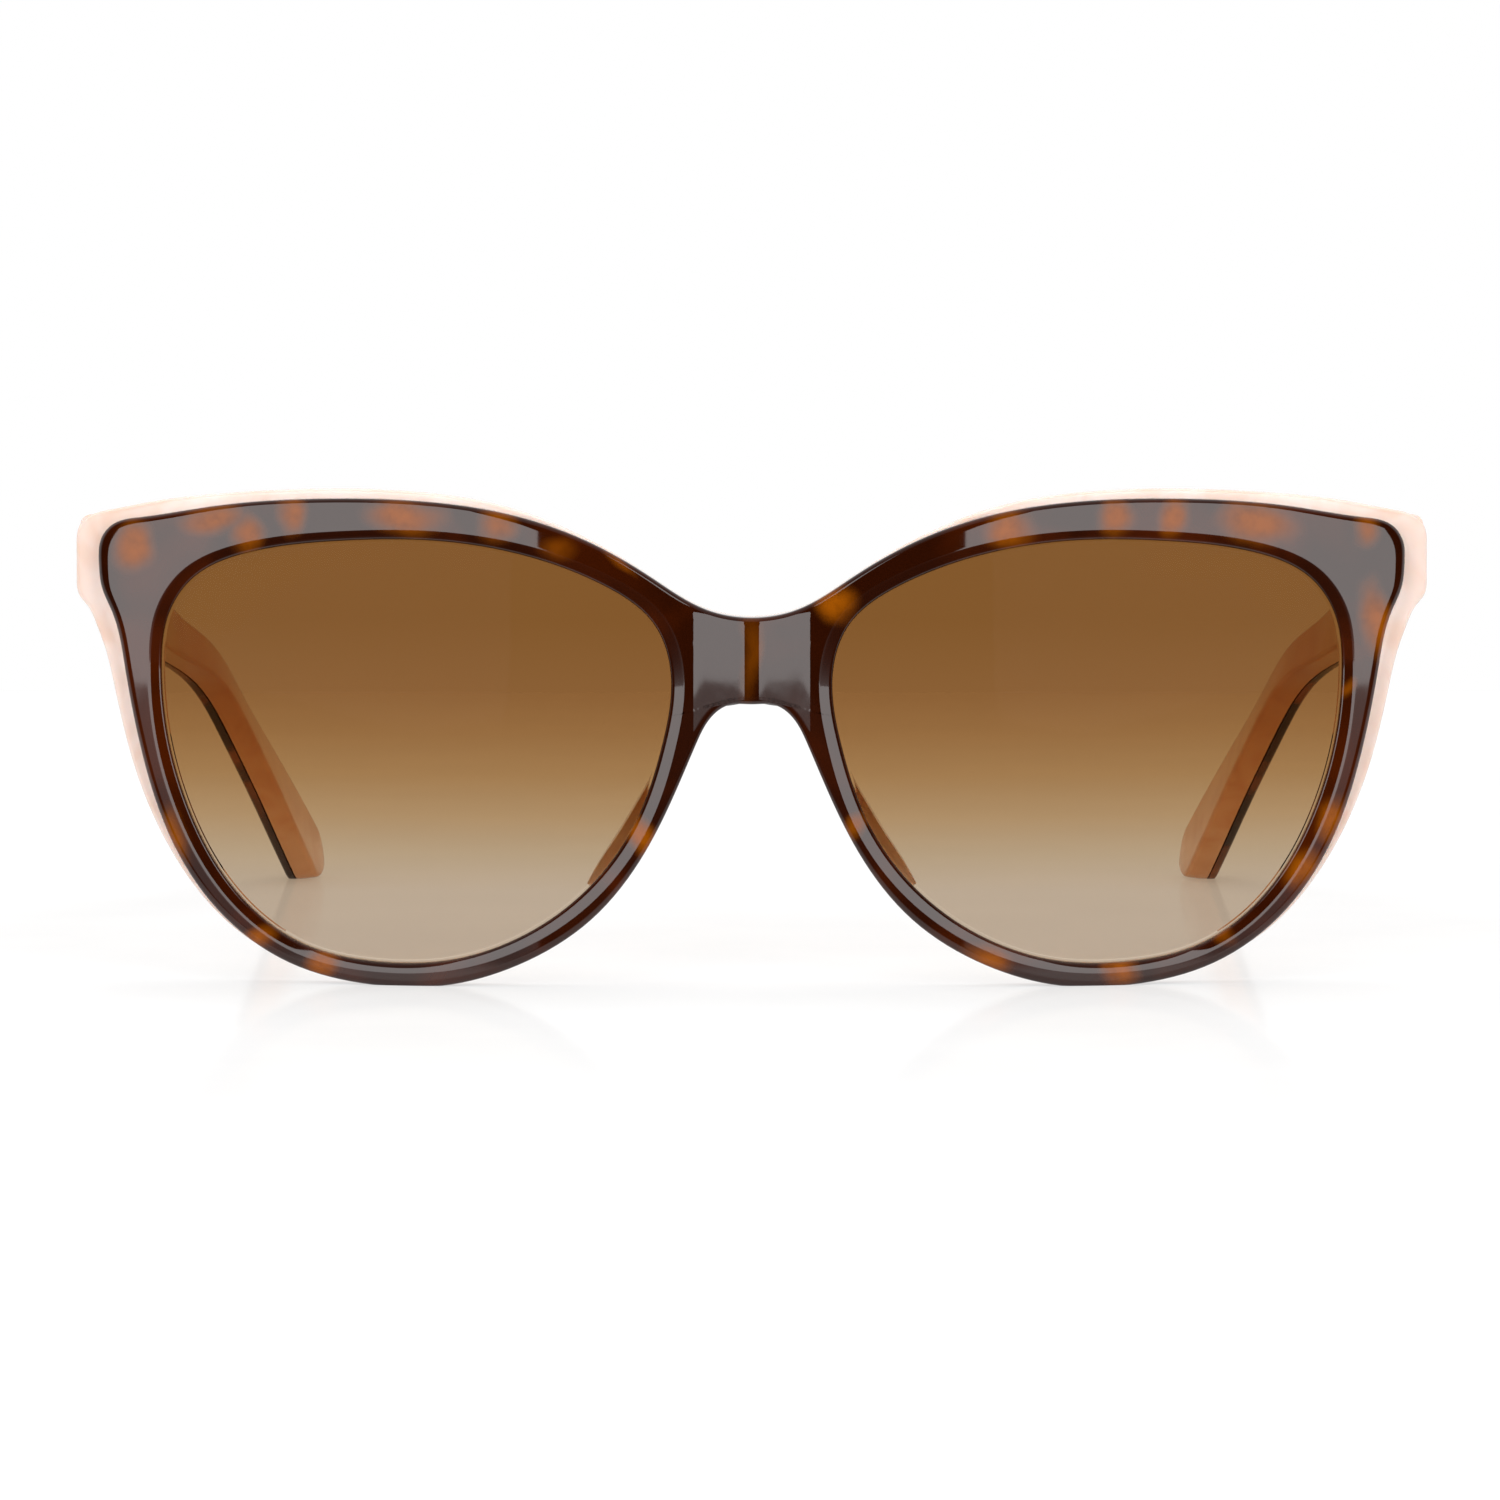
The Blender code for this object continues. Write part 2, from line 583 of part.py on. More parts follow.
# ---- temples -------------------------------------------------------------------------------------------
class Temple:
    """The swept bar of a temple: sections across it are given as (out from the inner face, up)."""

    def __init__(self):
        rows = smooth_path(TEMPLE_STATIONS, 2)
        self.points = [Vector((x, y, z)) for y, x, z, _, _ in rows]
        self.heights = [float(row[3]) for row in rows]
        self.leans = [math.radians(row[4]) for row in rows]
        self.round_the_tip()
        self.frames = [self.frame(i) for i in range(len(self.points))]

    def round_the_tip(self):
        """Ends the bar in a half circle, seen from the side."""
        along = (self.points[-1] - self.points[-2]).normalized()
        end, height = self.points[-1].copy(), self.heights[-1]
        for angle in TIP_ANGLES:
            turn = math.radians(angle)
            self.points.append(end + along * (height * 0.5 * math.sin(turn)))
            self.heights.append(height * math.cos(turn))
            self.leans.append(self.leans[-1])

    def frame(self, i):
        before, after = self.points[max(i - 1, 0)], self.points[min(i + 1, len(self.points) - 1)]
        along = (after - before).normalized() if i else Vector((0, 1, 0))
        up = Vector((math.sin(self.leans[i]), 0, math.cos(self.leans[i])))
        up = (up - up.dot(along) * along).normalized()
        return up, along.cross(up).normalized()

    def sections(self, outline, first=0, last=None):
        """The outline at each station: a list of (out, share of the half height, up in mm)."""
        found = []
        for i in range(len(self.points))[first:last]:
            up, out = self.frames[i]
            half = self.heights[i] / 2
            centre = self.points[i]
            found.append([centre + o * out + (share * half + rise) * up for o, share, rise in outline])
        return found


def temple_tortoise_layer(side, word, pivot):
    inner, outer, bevel = TEMPLE_THICK - TEMPLE_OUTER_LAYER, TEMPLE_THICK, TEMPLE_EDGE_BEVEL
    outline = [
        (inner, -1, 0), (outer - bevel, -1, 0), (outer, -0.85, 0), (outer, 0.85, 0), (outer - bevel, 1, 0),
        (inner, 1, 0),
    ]
    mesh = bmesh.new()
    loft(mesh, Temple().sections(outline))
    stand_flat(mesh)
    finish(f"temple_tortoise_layer_{word}", mesh, tortoise, side, pivot)


def temple_peach_layer(side, word, pivot):
    outer, bevel = TEMPLE_THICK - TEMPLE_OUTER_LAYER - LAYER_GAP, TEMPLE_EDGE_BEVEL
    groove, wide = outer - 2 * CORE_RADIUS - 0.25, CORE_RADIUS + 0.15
    outline = [
        (0, -0.85, 0), (bevel, -1, 0), (outer, -1, 0), (outer, 0, -wide), (groove, 0, -wide * 0.6),
        (groove, 0, wide * 0.6), (outer, 0, wide), (outer, 1, 0), (bevel, 1, 0), (0, 0.85, 0),
    ]
    mesh = bmesh.new()
    loft(mesh, Temple().sections(outline, last=-1))
    stand_flat(mesh)
    layer = finish(f"temple_peach_layer_{word}", mesh, peach, side, pivot)

    def pocket(mesh):
        inner = TEMPLE_STATIONS[0][1]
        half = TEMPLE_LEAF_TALL / 2 + POCKET_PLAY
        low = (inner - CUTTER, TEMPLE_START_Y - CUTTER, HINGE_Z - half)
        end = TEMPLE_START_Y + TEMPLE_LEAF_START + TEMPLE_LEAF_LENGTH + POCKET_PLAY
        floor = inner + TEMPLE_LEAF_SUNK + LEAF_THICK + POCKET_PLAY
        box(mesh, low, (floor, end, HINGE_Z + half))

    boolean(layer, "DIFFERENCE", helper(f"temple_leaf_pocket_{word}", pocket, side, pivot))


def temple_core_wire(side, word, pivot):
    middle = TEMPLE_THICK - TEMPLE_OUTER_LAYER - LAYER_GAP - CORE_RADIUS - 0.08
    outline = []
    for i in range(6):
        angle = math.pi * (2 * i + 1) / 6
        outline.append((middle + CORE_RADIUS * math.cos(angle), 0, CORE_RADIUS * math.sin(angle)))
    temple = Temple()
    count = len(temple.points)
    mesh = bmesh.new()
    loft(mesh, temple.sections(outline, round(CORE_START * count), round(CORE_END * count) - 2))
    finish(f"temple_core_wire_{word}", mesh, steel, side, pivot)


# ---- assembly ------------------------------------------------------------------------------------------
def hinge_pivot(side, word):
    """An empty on the hinge's axis, which carries everything that folds."""
    pivot = bpy.data.objects.new(f"hinge_axis_{word}", None)
    pivot.location = Vector((side * HINGE_X, HINGE_Y + BRIDGE_FRONT_Y, HINGE_Z)) * MM
    bpy.context.scene.collection.objects.link(pivot)
    return pivot


def main():
    for existing in list(bpy.data.objects):
        bpy.data.objects.remove(existing, do_unlink=True)
    front_tortoise_layer()
    front_peach_layer()
    for side, word in SIDES:
        lens(side, word)
        nose_pad(side, word)
        hinge_front_leaf(side, word)
        hinge_screw(side, word)
        pivot = hinge_pivot(side, word)
        hinge_temple_leaf(side, word, pivot)
        temple_tortoise_layer(side, word, pivot)
        temple_peach_layer(side, word, pivot)
        temple_core_wire(side, word, pivot)


main()
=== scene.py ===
"""Finished surfaces, studio light and camera for a pair of cat eye sunglasses.

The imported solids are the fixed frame. Every finished piece is modelled in its place around them, in
millimetres until a vertex is written: +X is the wearer's left, the front faces -Y, and the
sunglasses stand on z = 0. Depths are counted back from the foremost point of the bridge.
"""

import logging
import math
from dataclasses import dataclass, field
from enum import Enum
from typing import Callable, Sequence

import bmesh
import bpy
import numpy as np
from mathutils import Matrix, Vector


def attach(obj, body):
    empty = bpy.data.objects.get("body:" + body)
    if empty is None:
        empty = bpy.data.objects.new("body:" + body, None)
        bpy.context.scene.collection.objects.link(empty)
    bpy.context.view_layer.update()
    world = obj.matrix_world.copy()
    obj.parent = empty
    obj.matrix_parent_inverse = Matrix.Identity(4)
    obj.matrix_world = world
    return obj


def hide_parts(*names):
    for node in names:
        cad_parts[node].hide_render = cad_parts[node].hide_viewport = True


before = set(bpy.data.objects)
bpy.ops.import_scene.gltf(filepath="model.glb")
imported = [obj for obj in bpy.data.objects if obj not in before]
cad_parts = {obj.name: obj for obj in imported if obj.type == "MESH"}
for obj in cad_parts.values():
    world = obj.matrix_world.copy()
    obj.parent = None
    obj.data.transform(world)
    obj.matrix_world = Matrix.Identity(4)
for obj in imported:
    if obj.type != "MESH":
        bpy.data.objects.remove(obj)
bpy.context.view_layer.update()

log = logging.getLogger("sunglasses")

MM = 0.001
FRONT_Y = -71.3             # the foremost point of the bridge
START_RADIUS = 10.0         # of the circle that a piece begins as, before it is laid on a ring
MERGE = 1e-6                # metres
SMOOTH_ANGLE = math.radians(32)
CUTTER = 1.0                # how far a pocket's cutter runs past what it cuts

Colour = tuple[float, float, float]
Profile = list[Vector]


class Side(Enum):
    """The wearer's left and right, with the sign of X on that side."""

    LEFT = 1
    RIGHT = -1

    @property
    def word(self) -> str:
        """The side's name as it stands in the names of pieces."""
        return self.name.lower()

    @property
    def temple(self) -> str:
        """The body that folds on this side."""
        return f"temple_{self.word}"


class Slot(Enum):
    """The record's material slots."""

    TORTOISE = "tortoise_acetate"
    PEACH = "peach_acetate"
    LENS = "lens_gradient_brown"
    HINGE = "hinge_metal"


# ---- curves -------------------------------------------------------------------------------------
def smooth_loop(points: Sequence[tuple[float, float]], steps: int) -> list[Vector]:
    """Samples the closed cubic spline through some points.

    Args:
        points: The points that the loop runs through.
        steps: How many samples each span is cut in.

    Returns:
        The samples, starting at the first point.
    """
    knots = np.array(points, float)
    count = len(knots)
    after = np.roll(knots, -1, axis=0)
    span = np.linalg.norm(after - knots, axis=1)
    before = np.roll(span, 1)
    system = np.zeros((count, count))
    for i in range(count):
        system[i, i - 1] = before[i]
        system[i, i] = 2 * (before[i] + span[i])
        system[i, (i + 1) % count] = span[i]
    slope = (after - knots) / span[:, None]
    bend = np.linalg.solve(system, 6 * (slope - np.roll(slope, 1, axis=0)))
    found = []
    for i in range(count):
        bend_after = bend[(i + 1) % count]
        for t in np.arange(steps) / steps:
            rest = 1 - t
            cubic = (rest**3 - rest) * bend[i] + (t**3 - t) * bend_after
            found.append(Vector(rest * knots[i] + t * after[i] + span[i] ** 2 / 6 * cubic))
    return found


def smooth_path(rows: Sequence[tuple[float, ...]], steps: int) -> list[np.ndarray]:
    """Samples the natural cubic spline through some rows, spaced by their first column.

    Args:
        rows: The rows that the path runs through.
        steps: How many samples each span is cut in.

    Returns:
        The rows at the samples, both ends included.
    """
    knots = np.array(rows, float)
    step = np.diff(knots[:, 0])
    count = len(knots)
    system = np.eye(count)
    pull = np.zeros_like(knots)
    slope = np.diff(knots, axis=0) / step[:, None]
    for i in range(1, count - 1):
        system[i, i - 1], system[i, i + 1] = step[i - 1], step[i]
        system[i, i] = 2 * (step[i - 1] + step[i])
        pull[i] = 6 * (slope[i] - slope[i - 1])
    bend = np.linalg.solve(system, pull)
    found = []
    for i in range(count - 1):
        for t in np.arange(steps + (i == count - 2)) / steps:
            rest = 1 - t
            cubic = (rest**3 - rest) * bend[i] + (t**3 - t) * bend[i + 1]
            found.append(rest * knots[i] + t * knots[i + 1] + step[i] ** 2 / 6 * cubic)
    return found


def eased(
    corners: Sequence[tuple[float, float, float]], steps: int = 4, closed: bool = False
) -> Profile:
    """Rounds the corners of a profile.

    Args:
        corners: Two coordinates and the rounding of each corner. A rounding of zero keeps it sharp.
        steps: How many short faces a rounded corner is made of.
        closed: Whether the last corner is joined to the first.

    Returns:
        The points of the rounded profile.
    """
    found = []
    count = len(corners)
    for i, (across, deep, radius) in enumerate(corners):
        corner = Vector((across, deep))
        if not radius or (not closed and i in (0, count - 1)):
            found.append(corner)
            continue
        back = Vector(corners[i - 1][:2]) - corner
        on = Vector(corners[(i + 1) % count][:2]) - corner
        start = corner + back.normalized() * min(radius, 0.48 * back.length)
        end = corner + on.normalized() * min(radius, 0.48 * on.length)
        for k in range(steps + 1):
            t = k / steps
            found.append((1 - t) ** 2 * start + 2 * t * (1 - t) * corner + t * t * end)
    return found


@dataclass(frozen=True)
class FaceCurve:
    """The wrap of the whole front, seen from above, and the bridge that stands out from it."""

    radius: float = 240.0
    rise: float = 1.2
    rise_half: float = 6.75
    ramp: float = 0.2           # share of that half in which the slope begins, and in which it ends

    def sag(self, x: float) -> float:
        """How far the front has wrapped back at x."""
        return self.radius - math.sqrt(self.radius**2 - x * x)

    def bridge(self, x: float) -> float:
        """Gives how far the face stands out at the bridge.

        Args:
            x: Distance from the middle of the bridge.

        Returns:
            The rise: full in the middle, and falling at an even slope to nothing at the rims.
        """
        u = abs(x) / self.rise_half
        if u >= 1:
            return 0.0
        slope = 1 / (1 - self.ramp)
        if u < self.ramp:
            fallen = slope * u * u / (2 * self.ramp)
        elif u < 1 - self.ramp:
            fallen = slope * (u - self.ramp / 2)
        else:
            fallen = 1 - slope * (1 - u) ** 2 / (2 * self.ramp)
        return self.rise * (1 - fallen)

    def point(self, flat: Vector, depth: float, raised: bool = True) -> Vector:
        """Lays a point of the flat drawing on the curved front.

        Args:
            flat: X and Z of the point.
            depth: How far it lies behind the face.
            raised: Whether the surface follows the rise of the bridge.

        Returns:
            The point in space, in millimetres.
        """
        lift = self.bridge(flat.x) if raised else 0.0
        y = FRONT_Y + self.sag(flat.x) + self.rise - lift + depth
        return Vector((flat.x, y, flat.y))


# ---- modelling ----------------------------------------------------------------------------------
def deselect_all() -> None:
    """Leaves edit mode and deselects every object."""
    if bpy.context.mode != "OBJECT":
        bpy.ops.object.mode_set(mode="OBJECT")
    bpy.ops.object.select_all(action="DESELECT")


def make_active(piece: bpy.types.Object) -> None:
    """Selects one object alone and makes it the active one."""
    deselect_all()
    piece.select_set(True)
    bpy.context.view_layer.objects.active = piece


def apply_place(piece: bpy.types.Object) -> None:
    """Moves an object's place and size into its mesh."""
    make_active(piece)
    bpy.ops.object.transform_apply(location=True, rotation=True, scale=True)


def close_up(piece: bpy.types.Object) -> None:
    """Merges doubled vertices, turns the faces outwards and shades the piece."""
    make_active(piece)
    bpy.ops.object.mode_set(mode="EDIT")
    bpy.ops.mesh.select_mode(type="VERT")
    bpy.ops.mesh.select_all(action="SELECT")
    bpy.ops.mesh.remove_doubles(threshold=MERGE)
    bpy.ops.mesh.normals_make_consistent(inside=False)
    bpy.ops.object.mode_set(mode="OBJECT")
    bpy.ops.object.shade_smooth_by_angle(angle=SMOOTH_ANGLE)


def combine(piece: bpy.types.Object, operation: str, *others: bpy.types.Object) -> None:
    """Joins other solids to a piece, or cuts them from it, and removes them.

    Args:
        piece: The piece that is changed.
        operation: UNION or DIFFERENCE.
        *others: The solids that are used up.
    """
    for other in others:
        make_active(piece)
        modifier = piece.modifiers.new(other.name, "BOOLEAN")
        modifier.operation = operation
        modifier.solver = "EXACT"
        modifier.object = other
        bpy.ops.object.modifier_apply(modifier=modifier.name)
        bpy.data.objects.remove(other)


def other_side(piece: bpy.types.Object, name: str) -> bpy.types.Object:
    """Copies a piece to the wearer's right.

    Args:
        piece: The finished piece on the wearer's left.
        name: The copy's name.

    Returns:
        The mirrored copy, with a mesh of its own.
    """
    make_active(piece)
    bpy.ops.object.duplicate()
    copy = bpy.context.object
    copy.name = copy.data.name = name
    copy.scale.x = -1
    apply_place(copy)
    close_up(copy)
    return copy


def select_edges(piece: bpy.types.Object, wanted: Callable[[Vector, Vector], bool]) -> None:
    """Selects, in edit mode, the edges whose two ends pass a test.

    Args:
        piece: The piece, whose edit mode this turns on.
        wanted: The test, on the ends' places in millimetres.
    """
    make_active(piece)
    bpy.ops.object.mode_set(mode="EDIT")
    bpy.ops.mesh.select_mode(type="EDGE")
    bpy.ops.mesh.select_all(action="DESELECT")
    mesh = bmesh.from_edit_mesh(piece.data)
    for edge in mesh.edges:
        edge.select_set(wanted(edge.verts[0].co / MM, edge.verts[1].co / MM))
    bmesh.update_edit_mesh(piece.data)


def block(
    name: str, low: Sequence[float], high: Sequence[float], soften: float = 0.0
) -> bpy.types.Object:
    """Makes a block with softened edges.

    Args:
        name: The object's name.
        low: Its lowest corner.
        high: Its highest corner.
        soften: The rounding of its edges.

    Returns:
        The block.
    """
    deselect_all()
    centre = [(a + b) / 2 * MM for a, b in zip(low, high)]
    size = [b - a for a, b in zip(low, high)]
    bpy.ops.mesh.primitive_cube_add(size=MM, location=centre, scale=size)
    made = bpy.context.object
    made.name = made.data.name = name
    apply_place(made)
    if soften:
        bpy.ops.object.mode_set(mode="EDIT")
        bpy.ops.mesh.select_all(action="SELECT")
        bpy.ops.mesh.bevel(offset=soften * MM, segments=3, affect="EDGES")
        bpy.ops.object.mode_set(mode="OBJECT")
    return made


def drum(
    name: str, axis: Vector, radius: float, low: float, high: float,
    soften: float = 0.0, sides: int = 48,
) -> bpy.types.Object:
    """Makes an upright cylinder with softened rims.

    Args:
        name: The object's name.
        axis: X and Y of its axis.
        radius: Its radius.
        low: Height of its lower face.
        high: Height of its upper face.
        soften: The rounding of its two rims.
        sides: How many faces it has round its axis.

    Returns:
        The cylinder.
    """
    deselect_all()
    centre = (axis.x * MM, axis.y * MM, (low + high) / 2 * MM)
    bpy.ops.mesh.primitive_cylinder_add(
        vertices=sides, radius=radius * MM, depth=(high - low) * MM, location=centre
    )
    made = bpy.context.object
    made.name = made.data.name = name
    apply_place(made)
    if soften:
        select_edges(made, lambda a, b: abs(a.z - b.z) < MERGE / MM)
        bpy.ops.mesh.bevel(offset=soften * MM, segments=3, affect="EDGES")
        bpy.ops.object.mode_set(mode="OBJECT")
    return made


class Growth:
    """A piece that begins as a circle laid on a ring of points, and is extruded ring by ring."""

    def __init__(self, name: str, ring: Sequence[Vector]) -> None:
        """Starts the piece.

        Args:
            name: The object's name.
            ring: Where the circle's vertices go, in millimetres.
        """
        deselect_all()
        bpy.ops.mesh.primitive_circle_add(
            vertices=len(ring), radius=START_RADIUS * MM, location=(0, 0, 0)
        )
        self.piece = bpy.context.object
        self.piece.name = self.piece.data.name = name
        self.rings = 0
        self.first = ring
        bpy.ops.object.mode_set(mode="EDIT")
        bpy.ops.mesh.select_mode(type="EDGE")
        bpy.ops.mesh.select_all(action="SELECT")
        mesh = bmesh.from_edit_mesh(self.piece.data)
        mesh.verts.layers.int.new("around")
        mesh.verts.layers.int.new("ring")
        around = mesh.verts.layers.int["around"]
        for number, vertex in enumerate(mesh.verts):
            vertex[around] = number
        self.place(ring)

    def place(self, ring: Sequence[Vector]) -> None:
        """Moves the selected ring of vertices on to its points."""
        mesh = bmesh.from_edit_mesh(self.piece.data)
        around, number = mesh.verts.layers.int["around"], mesh.verts.layers.int["ring"]
        for vertex in mesh.verts:
            if vertex.select:
                vertex.co = ring[vertex[around]] * MM
                vertex[number] = self.rings
        bmesh.update_edit_mesh(self.piece.data)
        self.rings += 1

    def grow(self, *rings: Sequence[Vector]) -> "Growth":
        """Extrudes the selected ring on to each following ring of points."""
        for ring in rings:
            bpy.ops.mesh.extrude_edges_indiv()
            self.place(ring)
        return self

    def close(self) -> "Growth":
        """Extrudes once more, back on to the first ring, so that the section is closed."""
        self.grow(self.first)
        return self

    def cap(self) -> "Growth":
        """Fills the first and the last ring."""
        for wanted in (0, self.rings - 1):
            mesh = bmesh.from_edit_mesh(self.piece.data)
            number = mesh.verts.layers.int["ring"]
            for edge in mesh.edges:
                edge.select_set(edge.is_boundary and all(v[number] == wanted for v in edge.verts))
            bmesh.update_edit_mesh(self.piece.data)
            bpy.ops.mesh.edge_face_add()
        return self

    def mirror(self) -> "Growth":
        """Opens the half at x = 0 and adds the other half there."""
        bpy.ops.mesh.select_all(action="SELECT")
        bpy.ops.mesh.remove_doubles(threshold=MERGE)
        bpy.ops.mesh.select_mode(type="FACE")
        bpy.ops.mesh.select_all(action="DESELECT")
        mesh = bmesh.from_edit_mesh(self.piece.data)
        for face in mesh.faces:
            face.select_set(all(abs(vertex.co.x) < MERGE for vertex in face.verts))
        bmesh.update_edit_mesh(self.piece.data)
        bpy.ops.mesh.delete(type="ONLY_FACE")
        bpy.ops.mesh.select_mode(type="EDGE")
        bpy.ops.mesh.select_all(action="SELECT")
        bpy.ops.mesh.delete_loose(use_verts=True, use_edges=True, use_faces=False)
        bpy.ops.object.mode_set(mode="OBJECT")
        modifier = self.piece.modifiers.new("other half", "MIRROR")
        modifier.merge_threshold = MERGE
        bpy.ops.object.modifier_apply(modifier=modifier.name)
        bpy.ops.object.mode_set(mode="EDIT")
        return self

    def stand(self) -> "Growth":
        """Cuts off what reaches below z = 0, so that the piece rests on a flat face."""
        bpy.ops.mesh.select_all(action="SELECT")
        bpy.ops.mesh.bisect(
            plane_co=(0, 0, 0), plane_no=(0, 0, 1), use_fill=True, clear_inner=True, threshold=MERGE
        )
        return self

    def done(self) -> bpy.types.Object:
        """Leaves edit mode with the piece closed up."""
        close_up(self.piece)
        return self.piece


# ---- shader building ----------------------------------------------------------------------------
def feed(tree: bpy.types.NodeTree, node: bpy.types.Node, values: dict[str | int, object]) -> None:
    """Sets constants on a node's inputs, or links sockets to them.

    Args:
        tree: The tree that the node is in.
        node: The node.
        values: Constants or sockets, by the name or number of the input.
    """
    for name, value in values.items():
        if isinstance(value, bpy.types.NodeSocket):
            tree.links.new(value, node.inputs[name])
        else:
            node.inputs[name].default_value = value


class Nodes:
    """A node tree and the few calls that building it takes."""

    def __init__(self, tree: bpy.types.NodeTree) -> None:
        """Wraps a node tree."""
        self.tree = tree

    def add(
        self, kind: str, values: dict[str | int, object] | None = None, **settings: object
    ) -> bpy.types.Node:
        """Adds a node.

        Args:
            kind: The node's type, without its leading ShaderNode.
            values: Constants or sockets for its inputs, by name or number.
            **settings: The node's own properties.

        Returns:
            The node.
        """
        node = self.tree.nodes.new("ShaderNode" + kind)
        for name, value in settings.items():
            setattr(node, name, value)
        feed(self.tree, node, values or {})
        return node

    def math(self, operation: str, *values: object, clamp: bool = False) -> bpy.types.NodeSocket:
        """Adds a Math node.

        Args:
            operation: What it works out.
            *values: Its constants or sockets, in order.
            clamp: Whether the result is kept between 0 and 1.

        Returns:
            Its output.
        """
        node = self.add("Math", dict(enumerate(values)), operation=operation, use_clamp=clamp)
        return node.outputs[0]

    def spread(
        self, value: object, low: object, high: object, to_low: float = 0.0, to_high: float = 1.0
    ) -> bpy.types.NodeSocket:
        """Adds a smooth Map Range.

        Args:
            value: The socket that is mapped.
            low: The input at the range's start, or a socket.
            high: The input at its end, or a socket.
            to_low: The output at the start.
            to_high: The output at the end.

        Returns:
            Its output.
        """
        values = {0: value, 1: low, 2: high, 3: to_low, 4: to_high}
        return self.add("MapRange", values, interpolation_type="SMOOTHSTEP").outputs[0]

    def mix(self, share: object, first: object, second: object) -> bpy.types.NodeSocket:
        """Adds a colour mix.

        Args:
            share: The second colour's share.
            first: The first colour, or its socket.
            second: The second colour, or its socket.

        Returns:
            The mixed colour.
        """
        node = self.add("Mix", {0: share}, data_type="RGBA")
        for socket, colour in ((node.inputs[6], first), (node.inputs[7], second)):
            if isinstance(colour, bpy.types.NodeSocket):
                self.tree.links.new(colour, socket)
            else:
                socket.default_value = (*colour, 1)
        return node.outputs[2]

    def group(self, shared: bpy.types.NodeTree, values: dict[str, object]) -> bpy.types.Node:
        """Places a shared group.

        Args:
            shared: The group's tree.
            values: Constants or sockets for its inputs.

        Returns:
            The group's node.
        """
        node = self.tree.nodes.new("ShaderNodeGroup")
        node.node_tree = shared
        feed(self.tree, node, values)
        return node


def shared_group(
    name: str, inputs: dict[str, float], outputs: Sequence[str]
) -> tuple[Nodes, dict[str, bpy.types.NodeSocket], bpy.types.Node]:
    """Begins a node group that several materials use.

    Args:
        name: The group's name.
        inputs: Its number inputs and what each is by default, besides the vector Place.
        outputs: Its number outputs.

    Returns:
        The group's nodes, its inputs by name, and its output node.
    """
    tree = bpy.data.node_groups.new(name, "ShaderNodeTree")
    tree.interface.new_socket("Place", in_out="INPUT", socket_type="NodeSocketVector")
    for title, value in inputs.items():
        made = tree.interface.new_socket(title, in_out="INPUT", socket_type="NodeSocketFloat")
        made.default_value = value
    for title in outputs:
        tree.interface.new_socket(title, in_out="OUTPUT", socket_type="NodeSocketFloat")
    nodes = Nodes(tree)
    entry = tree.nodes.new("NodeGroupInput")
    leave = tree.nodes.new("NodeGroupOutput")
    return nodes, {socket.name: socket for socket in entry.outputs}, leave


class Effects:
    """The effects that more than one finish uses."""

    def __init__(self) -> None:
        """Builds each group once."""
        self.polish = self.build_polish()
        self.clouds = self.build_clouds()
        self.grain = self.build_grain()

    @staticmethod
    def build_polish() -> bpy.types.NodeTree:
        """The faint waviness and the hairline haze that hand polishing leaves.

        Returns:
            A group that puts out a height and a roughness.
        """
        nodes, given, leave = shared_group(
            "hand_polish", {"Wave": 90.0, "Gloss": 0.05, "Haze": 0.03}, ("Height", "Roughness")
        )
        wave = nodes.add(
            "TexNoise", {"Vector": given["Place"], "Scale": given["Wave"], "Detail": 2.0}
        )
        smear = nodes.add("TexNoise", {"Vector": given["Place"], "Scale": 420.0, "Detail": 5.0})
        haze = nodes.math("MULTIPLY", nodes.spread(smear.outputs[0], 0.45, 0.8), given["Haze"])
        nodes.tree.links.new(wave.outputs[0], leave.inputs["Height"])
        nodes.tree.links.new(nodes.math("ADD", given["Gloss"], haze), leave.inputs["Roughness"])
        return nodes.tree

    @staticmethod
    def build_clouds() -> bpy.types.NodeTree:
        """The drifting clouds of colour in a sheet of acetate.

        Returns:
            A group that puts out a mask.
        """
        nodes, given, leave = shared_group(
            "acetate_clouds", {"Scale": 60.0, "Drift": 0.6, "From": 0.5, "To": 0.7}, ("Mask",)
        )
        noise = nodes.add("TexNoise", {
            "Vector": given["Place"], "Scale": given["Scale"], "Detail": 2.5,
            "Distortion": given["Drift"],
        })
        mask = nodes.spread(noise.outputs[0], given["From"], given["To"])
        nodes.tree.links.new(mask, leave.inputs["Mask"])
        return nodes.tree

    @staticmethod
    def build_grain() -> bpy.types.NodeTree:
        """The fine grain of drawn and tumbled metal.

        Returns:
            A group that puts out a height and a roughness.
        """
        nodes, given, leave = shared_group(
            "metal_grain", {"Scale": 2500.0, "Low": 0.2, "High": 0.4}, ("Height", "Roughness")
        )
        stretched = nodes.add("Mapping", {"Vector": given["Place"], "Scale": (1.0, 1.0, 6.0)})
        lines = nodes.add(
            "TexNoise", {"Vector": stretched.outputs[0], "Scale": given["Scale"], "Detail": 4.0}
        )
        worn = nodes.add("TexNoise", {"Vector": given["Place"], "Scale": 300.0, "Detail": 3.0})
        rough = nodes.add(
            "MapRange", {0: worn.outputs[0], 1: 0.3, 2: 0.7, 3: given["Low"], 4: given["High"]}
        )
        nodes.tree.links.new(lines.outputs[0], leave.inputs["Height"])
        nodes.tree.links.new(rough.outputs[0], leave.inputs["Roughness"])
        return nodes.tree


